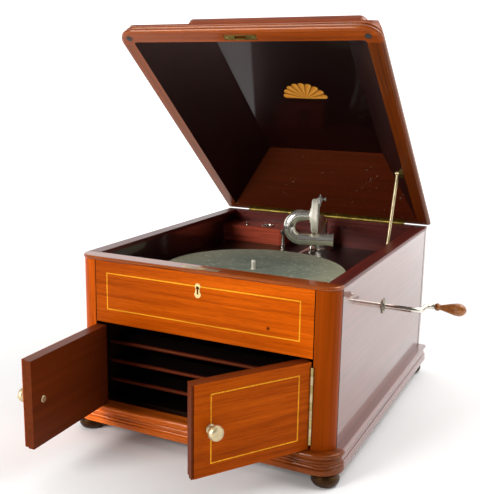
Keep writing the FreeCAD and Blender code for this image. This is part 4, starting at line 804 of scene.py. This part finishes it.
class ScrewTree(Nodes):
    """Geometry node tree that sets a slotted screw head on every point."""

    name = "slotted screws"
    sizes = ("Radius", "Height", "Slot Width", "Slot Depth")
    sides = 18
    slot_reach = 3.0

    def __init__(self) -> None:
        """Build the tree once."""
        super().__init__(bpy.data.node_groups.new(self.name, "GeometryNodeTree"))
        face = self.tree.interface
        face.new_socket("Geometry", in_out="INPUT", socket_type="NodeSocketGeometry")
        for size in self.sizes:
            face.new_socket(size, in_out="INPUT", socket_type="NodeSocketFloat")
        face.new_socket("Material", in_out="INPUT", socket_type="NodeSocketMaterial")
        face.new_socket("Geometry", in_out="OUTPUT", socket_type="NodeSocketGeometry")
        self.entry = self.add("NodeGroupInput")
        self.finish(self.turned_heads(self.head()))

    def scaled(self, size: str, factor: float) -> Socket:
        """A named input times a factor.

        Args:
            size: Name of the input.
            factor: Factor.

        Returns:
            The product socket.
        """
        node = self.add("ShaderNodeMath", operation="MULTIPLY")
        self.link(self.entry.outputs[size], node.inputs[0])
        node.inputs[1].default_value = factor
        return node.outputs[0]

    def head(self) -> Socket:
        """One head with its slot cut.

        Returns:
            The mesh socket.
        """
        link = self.link
        disc = self.add("GeometryNodeMeshCylinder")
        disc.inputs["Vertices"].default_value = self.sides
        link(self.entry.outputs["Radius"], disc.inputs["Radius"])
        link(self.entry.outputs["Height"], disc.inputs["Depth"])
        size = self.add("ShaderNodeCombineXYZ")
        link(self.scaled("Radius", self.slot_reach), size.inputs["X"])
        link(self.entry.outputs["Slot Width"], size.inputs["Y"])
        link(self.scaled("Slot Depth", 2.0), size.inputs["Z"])
        bar = self.add("GeometryNodeMeshCube")
        link(size.outputs[0], bar.inputs["Size"])
        lift = self.add("ShaderNodeCombineXYZ")
        link(self.scaled("Height", 0.5), lift.inputs["Z"])
        move = self.add("GeometryNodeTransform")
        link(bar.outputs["Mesh"], move.inputs["Geometry"])
        link(lift.outputs[0], move.inputs["Translation"])
        cut = self.add("GeometryNodeMeshBoolean", operation="DIFFERENCE")
        link(disc.outputs["Mesh"], cut.inputs[0])
        link(move.outputs["Geometry"], cut.inputs[1])
        return cut.outputs["Mesh"]

    def turned_heads(self, head: Socket) -> Socket:
        """The head on every point, along its way and turned by its spin.

        Args:
            head: Mesh of one head.

        Returns:
            The instances socket.
        """
        link = self.link
        way = self.add("GeometryNodeInputNamedAttribute", data_type="FLOAT_VECTOR")
        way.inputs["Name"].default_value = "way"
        spin = self.add("GeometryNodeInputNamedAttribute", data_type="FLOAT")
        spin.inputs["Name"].default_value = "spin"
        about = self.add("ShaderNodeCombineXYZ")
        link(spin.outputs["Attribute"], about.inputs["Z"])
        start = self.add("FunctionNodeEulerToRotation")
        link(about.outputs[0], start.inputs[0])
        align = self.add("FunctionNodeAlignRotationToVector", axis="Z")
        link(start.outputs[0], align.inputs["Rotation"])
        link(way.outputs["Attribute"], align.inputs["Vector"])
        spread = self.add("GeometryNodeInstanceOnPoints")
        link(self.entry.outputs["Geometry"], spread.inputs["Points"])
        link(head, spread.inputs["Instance"])
        link(align.outputs[0], spread.inputs["Rotation"])
        gauge = self.add("GeometryNodeInputNamedAttribute", data_type="FLOAT")
        gauge.inputs["Name"].default_value = "gauge"
        link(gauge.outputs["Attribute"], spread.inputs["Scale"])
        return spread.outputs["Instances"]

    def finish(self, heads: Socket) -> None:
        """Realise the heads and give them their material.

        Args:
            heads: Instances socket.
        """
        link = self.link
        real = self.add("GeometryNodeRealizeInstances")
        link(heads, real.inputs["Geometry"])
        paint = self.add("GeometryNodeSetMaterial")
        link(real.outputs["Geometry"], paint.inputs["Geometry"])
        link(self.entry.outputs["Material"], paint.inputs["Material"])
        leave = self.add("NodeGroupOutput")
        link(paint.outputs["Geometry"], leave.inputs["Geometry"])

    def identifier(self, name: str) -> str:
        """Identifier of a named input."""
        return next(item.identifier for item in self.tree.interface.items_tree
                    if item.in_out == "INPUT" and item.name == name)


@dataclass(frozen=True)
class Spot:
    """Where a screw goes in: its place, the way its head faces and its size against the usual one."""

    place: Vector
    way: Vector
    gauge: float = 1.0

    def opened(self) -> "Spot":
        """The same spot of the shut lid, taken to where the lid stands open."""
        turn = Euler((-LID_OPEN, 0.0, 0.0)).to_matrix()
        pin = Vector(LID_PIN)
        return Spot(pin + turn @ (self.place - pin), turn @ self.way, self.gauge)


@dataclass(frozen=True)
class Screws:
    """Slotted screws of one usual size and finish."""

    finish: Finish
    radius: float = 0.0016
    height: float = 0.0012
    proud: float = 0.0002
    slot_width: float = 0.3
    slot_depth: float = 0.5

    def build(self, name: str, body: str, spots: Sequence[Spot]) -> bpy.types.Object:
        """Set the screws and turn them into a plain mesh.

        Args:
            name: Name of the piece.
            body: Body it rides on.
            spots: Where the screws go in.

        Returns:
            The piece.
        """
        mesh = bpy.data.meshes.new(name)
        middle = self.proud - self.height / 2
        mesh.from_pydata([spot.place + spot.way * middle * spot.gauge for spot in spots], [], [])
        ways = mesh.attributes.new("way", "FLOAT_VECTOR", "POINT")
        ways.data.foreach_set("vector", [value for spot in spots for value in spot.way])
        spins = mesh.attributes.new("spin", "FLOAT", "POINT")
        spins.data.foreach_set("value", [GOLDEN_ANGLE * index % math.pi for index in range(len(spots))])
        gauges = mesh.attributes.new("gauge", "FLOAT", "POINT")
        gauges.data.foreach_set("value", [spot.gauge for spot in spots])
        piece = bpy.data.objects.new(name, mesh)
        bpy.context.scene.collection.objects.link(piece)
        step = piece.modifiers.new("screws", "NODES")
        step.node_group = SCREW_TREE.tree
        sizes = (self.radius, self.height, self.radius * self.slot_width, self.height * self.slot_depth)
        for size, value in zip(SCREW_TREE.sizes, sizes):
            step[SCREW_TREE.identifier(size)] = value
        step[SCREW_TREE.identifier("Material")] = self.finish.material()
        graph = bpy.context.evaluated_depsgraph_get()
        plain = bpy.data.meshes.new_from_object(piece.evaluated_get(graph))
        piece.modifiers.clear()
        piece.data = plain
        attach(piece, body)
        LOG.info("%s: %d screws on %s", name, len(spots), body)
        return piece


SCREW_TREE = ScrewTree()
GOLDEN_ANGLE = math.pi * (3.0 - math.sqrt(5.0))
BOTH_SIDES = (-1, 1)
UP = Vector((0.0, 0.0, 1.0))
DOWN = Vector((0.0, 0.0, -1.0))
OUT = Vector((1.0, 0.0, 0.0))
BACK = Vector((0.0, 1.0, 0.0))

# Screws of the lid's hinge, the same on both leaves.
HINGE_PITCH = 0.030
HINGE_SCREWS = tuple(HINGE_PITCH * step for step in range(-5, 6))
HINGE_SCREW_Y = 0.3232
HINGE_GAUGE = 1.2


@dataclass
class Assembly:
    """A named sub-assembly that dresses its solids and adds its fine pieces."""

    name: str = "assembly"

    def dress(self, finishes: dict[str, Finish]) -> None:
        """Give each named solid its finish.

        Args:
            finishes: Finish by node name.
        """
        for node, finish in finishes.items():
            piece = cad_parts[node]
            piece.data.materials.clear()
            piece.data.materials.append(finish.material())
            LOG.info("%s: %s in %s", self.name, node, finish.name)

    def build(self) -> None:
        """Dress the solids and add the fine pieces."""
        raise NotImplementedError


@dataclass
class Case(Assembly):
    """Case, rim, plinth, horn and inner works that never move."""

    name: str = "case"
    inner_half: float = 0.195
    front_back: float = -0.1685
    slat_front: float = -0.1606
    post_inner: float = 0.1785
    post_back: float = -0.1642
    back_front: float = 0.3170
    rim_top: float = 0.0385
    lock_screw_x: float = 0.024
    lock_y: float = -0.1795
    board_top: float = -0.018
    board_screws: tuple[tuple[float, float], ...] = (
        (-0.186, -0.150), (0.186, -0.150), (-0.186, 0.055), (0.186, 0.055), (-0.186, 0.255), (0.186, 0.305))
    socket: Point = (0.0175, 0.2775, -0.015)
    socket_ring: float = 0.0195
    crank_face: Point = (0.2106, 0.0435, -0.0445)
    crank_ring: float = 0.0098
    back_inset: float = 0.012
    stain_margin: float = 0.001
    side_seam_half: float = 0.002
    board_gauge: float = 2.0
    socket_gauge: float = 1.3
    crank_gauge: float = 0.8
    back_gauge: float = 1.8
    slat_back: Colour = (0.006, 0.003, 0.003)
    # Darker tone of the right-hand posts: painted shade.
    right_post_painted_shade: Colour = (0.300, 0.045, 0.0012)
    front_knot: Point = (0.111, -0.1875, -0.0313)

    def build(self) -> None:
        """Dress the solids and add the fine pieces."""
        wall = StainAndPaintedShade("X", self.inner_half + self.stain_margin, both_sides=True)
        inside = StainAndPaintedShade("Y", self.front_back - self.stain_margin, below=False)
        # Painted shade: the right-hand posts take a darker tone, as on the side turned from the key light.
        shade = StainAndPaintedShade("X", 0.0, below=False, colour=self.right_post_painted_shade)
        hidden = StainAndPaintedShade("Y", self.slat_front, below=False, colour=self.slat_back)
        joint = Seam("X", (self.post_inner,), both_sides=True)
        side_joints = Seam("Y", (self.post_back, self.back_front), self.side_seam_half)
        upright = POLISHED.board("post mahogany", Grain.ALONG_Z, shift=(0.3, 0.1, 0.0), stain=shade, seam=joint,
                                 **LOW_GLOSS)
        # Painted light: the front panel is darkened to the left and brightened to the right.
        front = POLISHED.board("front mahogany", stain=inside, streaks=0.35, fade=(0.76, 1.2),
                               knot=self.front_knot, seam=joint, **LOW_GLOSS)
        back = REDDISH.board("back mahogany")
        side = MIRRORED.board("side mahogany", Grain.ALONG_Y, shift=(0.0, 0.2, 0.4), stain=wall, seam=side_joints,
                              **MIRROR_POLISH)
        # Painted light and shade: the plinth is brightened on the left and darkened towards the right.
        plinth = PLINTH.board("plinth mahogany", shift=(0.0, 0.0, 0.7), coat=0.3, coat_roughness=0.12, relief=0.0,
                              specular=0.3, fade=(1.5, 0.28))
        plinth_side = MIRRORED.board("plinth side mahogany", Grain.ALONG_Y, shift=(0.0, 0.0, 0.9), **MIRROR_POLISH)
        rim = MOULDED.board("rim mahogany", shift=(0.5, 0.0, 0.0), coat=0.5)
        rim_side = REDDISH.board("rim side mahogany", Grain.ALONG_Y, shift=(0.6, 0.0, 0.0))
        board = STAINED.board("well mahogany")
        black = MOUTH.board("mouth black", shift=(0.0, 0.3, 0.0), **SHADED)
        slats = SLAT.board("slat mahogany", stain=hidden, **SHADED)
        foot = EBONISED.board("foot black", Grain.ALONG_Z)
        plain = PINE.board("pine", coat=0.0, roughness=0.7, pores=0.2)
        block = BLOCK.board("block mahogany", shift=(0.2, 0.0, 0.0))
        self.dress({
            "corner_posts": upright, "side_panels": side, "back_panel": back, "front_panel": front,
            "front_inlay": BOXWOOD, "escutcheons": PLATES, "lock_case": SATIN_BRASS, "rim_front": rim,
            "rim_sides_and_back": rim_side, "plinth_front": plinth, "plinth_sides": plinth_side,
            "base_board": board, "feet": foot, "motor_board": board, "board_bearers": plain,
            "horn_boards": black, "horn_elbow": IRON, "louvre_slats": slats, "mouth_lining": black,
            "needle_block": block, "needle_cup": NICKEL, "door_case_brass": HINGE_BRASS,
            "lid_case_brass": AGED_BRASS, "arm_base": NICKEL, "motor_plates": IRON, "lock_bolt": BRASS,
            "catch_bullets": BRASS, "speed_knob": NICKEL, "brake_lever": NICKEL,
        })
        Screws(BRASS).build("case_screws", "case", self.screws())

    def screws(self) -> list[Spot]:
        """Screws of the hinge, lock, motor board, arm socket, crank plate and back.

        Returns:
            Where they go in.
        """
        spots = [Spot(Vector((x, HINGE_SCREW_Y, self.rim_top)), UP, HINGE_GAUGE) for x in HINGE_SCREWS]
        spots += [Spot(Vector((s * self.lock_screw_x, self.lock_y, self.rim_top)), UP) for s in BOTH_SIDES]
        for x, y in self.board_screws:
            spots.append(Spot(Vector((x, y, self.board_top)), UP, self.board_gauge))
        for turn in range(3):
            angle = math.radians(30.0 + 120.0 * turn)
            reach = Vector((math.cos(angle), math.sin(angle), 0.0)) * self.socket_ring
            spots.append(Spot(Vector(self.socket) + reach, UP, self.socket_gauge))
        for turn in range(6):
            angle = math.radians(60.0 * turn)
            reach = Vector((0.0, math.cos(angle), math.sin(angle))) * self.crank_ring
            spots.append(Spot(Vector(self.crank_face) + reach, OUT, self.crank_gauge))
        low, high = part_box("back_panel")
        for level in (low.z + self.back_inset, high.z - self.back_inset):
            for step in range(-2, 3):
                across = step * (high.x - self.back_inset) / 2
                spots.append(Spot(Vector((across, high.y, level)), BACK, self.back_gauge))
        return spots


@dataclass
class Lid(Assembly):
    """Moulded lid with its hollow, inlay, fittings and stay."""

    name: str = "lid"
    fan_hub: Point = (0.006, 0.0805, 0.135)
    fan_petals: int = 9
    strike_screw_x: float = 0.0215
    strike_screw_y: float = -0.1795
    under: float = 0.0391
    facing_down: float = -0.05
    # Tones inside the lid's hollow: lighter on the slope near the hinge as painted light, darkest on the top panel as
    # painted shade.
    ruddy_painted_light: Colour = (0.056, 0.006, 0.002)
    deepest_painted_shade: Colour = (0.005, 0.001, 0.001)
    petal_shadow: Colour = (0.12, 0.030, 0.004)
    petal_middle: Colour = (0.60, 0.20, 0.018)
    petal_bright: Colour = (0.84, 0.40, 0.060)

    def hollow(self, **more: object) -> StainAndPaintedShade:
        """Dark colour on what faces down when the lid is shut, the inside of its hollow; faces given their own tone
        carry painted light and shade.
        """
        return StainAndPaintedShade("Z", self.facing_down, lid=True, source="Normal", **more)

    def build(self) -> None:
        """Dress the solids and add the fine pieces."""
        inner = {"lid": True, "stain": self.hollow(), "tint": INNER_TINT}
        rail = MOULDED.board("lid rail mahogany", lid=True, shift=(0.1, 0.0, 0.0), coat=0.3)
        # Painted shade: the side and back rails of the lid are darkened, most towards the right rail.
        rail_side = MOULDED.board("lid side mahogany", Grain.ALONG_Y, lid=True, shift=(0.2, 0.0, 0.0), coat=0.3,
                                  fade=(0.75, 0.45))
        across = MOULDED.board("lid slope across", **inner)
        along = MOULDED.board("lid slope along", Grain.ALONG_Y, **inner)
        # Painted light on the slope near the hinge and painted shade on the top panel, inside the lid's hollow.
        near = MOULDED.board("lid slope near the hinge", lid=True, stain=self.hollow(colour=self.ruddy_painted_light), specks=1.0,
                             specular=0.06, coat=0.0)
        top = MOULDED.board("lid panel", lid=True, shift=(0.4, 0.0, 0.0), stain=self.hollow(colour=self.deepest_painted_shade),
                            tint=INNER_TINT, coat=0.8)
        fan = Fan("fan inlay", self.fan_hub, self.fan_petals, self.petal_shadow, self.petal_middle, self.petal_bright)
        self.dress({
            "lid_frame_front": rail, "lid_frame_sides_and_back": rail_side, "lid_slope_left": along,
            "lid_slope_right": along, "lid_slope_front": across, "lid_slope_back": near, "lid_top": top,
            "lid_motif": fan, "lid_bumpers": RUBBER, "lid_fittings": AGED_BRASS, "lid_stay": SATIN_BRASS,
        })
        leaf = [Spot(Vector((x, HINGE_SCREW_Y, self.under)), DOWN, HINGE_GAUGE) for x in HINGE_SCREWS]
        strike = [Spot(Vector((s * self.strike_screw_x, self.strike_screw_y, self.under)), DOWN)
                  for s in BOTH_SIDES]
        Screws(BRASS).build("lid_screws", "lid", [spot.opened() for spot in leaf + strike])


@dataclass
class Doors(Assembly):
    """The two doors, their lines, knobs and hinge leaves."""

    name: str = "doors"
    pin_x: float = 0.1781
    pin_y: float = -0.1889
    pin_proud: float = 0.0014
    face: float = 0.0008
    inner_colour: Colour = (0.130, 0.022, 0.004)

    def inner_face(self, heading: float, side: int) -> StainAndPaintedShade:
        """Darker edges and inner face of an open door.

        Args:
            heading: Angle that the door stands open.
            side: One for the right door, minus one for the left.

        Returns:
            The stain.
        """
        pin = Vector((side * self.pin_x, self.pin_y, 0.0))
        pin.rotate(Euler((0.0, 0.0, -heading)))
        limit = pin.y + self.pin_proud + self.face
        return StainAndPaintedShade("Y", limit, below=False, colour=self.inner_colour, heading=heading)

    def build(self) -> None:
        """Dress the solids."""
        left = POLISHED.board("left door mahogany", heading=DOOR_LEFT, shift=(0.0, 0.0, 0.2),
                              stain=self.inner_face(DOOR_LEFT, -1), **LOW_GLOSS)
        # Painted shade: the right door's tones are multiplied by 0.78 all over, for the face turned from the key
        # light.
        right = POLISHED.board("right door mahogany", heading=DOOR_RIGHT, shift=(0.0, 0.0, 0.5),
                               stain=self.inner_face(DOOR_RIGHT, 1), streaks=0.4, fade=(0.78, 0.78), **LOW_GLOSS)
        self.dress({
            "door_left": left, "door_right": right, "door_left_inlay": BOXWOOD, "door_right_inlay": BOXWOOD,
            "door_left_brass": SATIN_BRASS, "door_right_brass": SATIN_BRASS,
        })


@dataclass
class Turntable(Assembly):
    """Turntable, felt, spindle and the clockwork below."""

    name: str = "turntable"

    def build(self) -> None:
        """Dress the solids."""
        self.dress({
            "platter": NICKEL, "platter_felt": FELT, "spindle": PALE_NICKEL, "spring_barrel": STEEL,
            "mainspring": SPRING_STEEL, "winding_arbor": STEEL, "governor": BRASS,
        })


@dataclass
class Arm(Assembly):
    """Sound arm, gooseneck and soundbox."""

    name: str = "arm"

    def build(self) -> None:
        """Dress the solids."""
        self.dress({
            "sound_arm": ARM_NICKEL, "gooseneck": ARM_NICKEL, "soundbox_shell": PALE_NICKEL,
            "diaphragm": MICA, "stylus_bar": STEEL,
        })


@dataclass
class Crank(Assembly):
    """Winding crank and its handle."""

    name: str = "crank"

    def build(self) -> None:
        """Dress the solids."""
        self.dress({"crank_rod": NICKEL, "crank_handle": HANDLE})


@dataclass(frozen=True)
class View:
    """The camera, by its place, angles and focal length in picture pixels."""

    place: Point = (0.51337, -1.10853, 0.29964)
    azimuth: float = 25.9
    elevation: float = 12.17
    roll: float = 0.92
    focal_pixels: float = 763.2
    picture_height: float = 494.0
    sensor: float = 36.0
    clip_start: float = 0.01

    def build(self) -> None:
        """Make the camera and set it as the scene's."""
        a, e, r = (math.radians(v) for v in (self.azimuth, self.elevation, self.roll))
        back = Vector((math.sin(a) * math.cos(e), -math.cos(a) * math.cos(e), math.sin(e)))
        level = Vector((math.cos(a), math.sin(a), 0.0))
        upright = back.cross(level)
        right = level * math.cos(r) + upright * math.sin(r)
        up = upright * math.cos(r) - level * math.sin(r)
        data = bpy.data.cameras.new("camera")
        data.sensor_width = self.sensor
        data.lens = self.focal_pixels * self.sensor / self.picture_height
        data.clip_start = self.clip_start
        camera = bpy.data.objects.new("camera", data)
        turn = Matrix((right, up, back)).transposed().to_4x4()
        camera.matrix_world = Matrix.Translation(self.place) @ turn
        bpy.context.scene.collection.objects.link(camera)
        bpy.context.scene.camera = camera


@dataclass(frozen=True)
class Lamp:
    """One soft area light."""

    name: str
    place: Point
    aim: Point
    size: tuple[float, float]
    power: float
    colour: Colour = WHITE

    def build(self) -> None:
        """Make the light and point it."""
        data = bpy.data.lights.new(self.name, "AREA")
        data.shape = "RECTANGLE"
        data.size, data.size_y = self.size
        data.energy = self.power
        data.color = self.colour
        lamp = bpy.data.objects.new(self.name, data)
        lamp.location = self.place
        lamp.rotation_euler = (Vector(self.aim) - Vector(self.place)).to_track_quat("-Z", "Y").to_euler()
        bpy.context.scene.collection.objects.link(lamp)


@dataclass(frozen=True)
class Studio:
    """Pale floor, white surround and soft lights."""

    floor_size: float = 14.0
    surround: tuple[float, float, float, float] = (-0.4, 0.5, 0.12, 1.5)

    def build(self) -> None:
        """Make the floor, the surround and the lights."""
        low = START_BOUNDS[0].z
        half = self.floor_size / 2
        mesh = bpy.data.meshes.new("floor")
        corners = [(-half, -half, low), (half, -half, low), (half, half, low), (-half, half, low)]
        mesh.from_pydata(corners, [], [(0, 1, 2, 3)])
        floor = bpy.data.objects.new("floor", mesh)
        mesh.materials.append(PAPER.material())
        bpy.context.scene.collection.objects.link(floor)
        world = bpy.data.worlds.new("studio")
        bpy.context.scene.world = world
        world.use_nodes = True
        around = Nodes(world.node_tree)
        sky = world.node_tree.nodes["Background"]
        sky.inputs["Color"].default_value = (*WHITE, 1.0)
        parts = around.add("ShaderNodeSeparateXYZ")
        around.link(around.add("ShaderNodeTexCoord").outputs["Generated"], parts.inputs[0])
        most = around.add("ShaderNodeMath", operation="MAXIMUM")
        around.link(around.map_range(parts.outputs["Y"], self.surround), most.inputs[0])
        around.link(around.add("ShaderNodeLightPath").outputs["Is Camera Ray"], most.inputs[1])
        around.link(most.outputs[0], sky.inputs["Strength"])
        for lamp in (
            Lamp("key light", (-1.2, -2.3, 1.0), ORIGIN, (1.2, 1.2), 66.0),
            Lamp("floor light", (1.3, 0.6, 1.5), (0.9, 0.6, -0.25), (1.4, 1.4), 24.0),
        ):
            lamp.build()


def main() -> None:
    """Build every sub-assembly, the studio and the camera."""
    bpy.context.scene.view_settings.view_transform = "Standard"
    for assembly in (Case(), Lid(), Doors(), Turntable(), Arm(), Crank()):
        assembly.build()
        LOG.info("%s done", assembly.name)
    Studio().build()
    View().build()


if __name__ == "__main__":
    main()
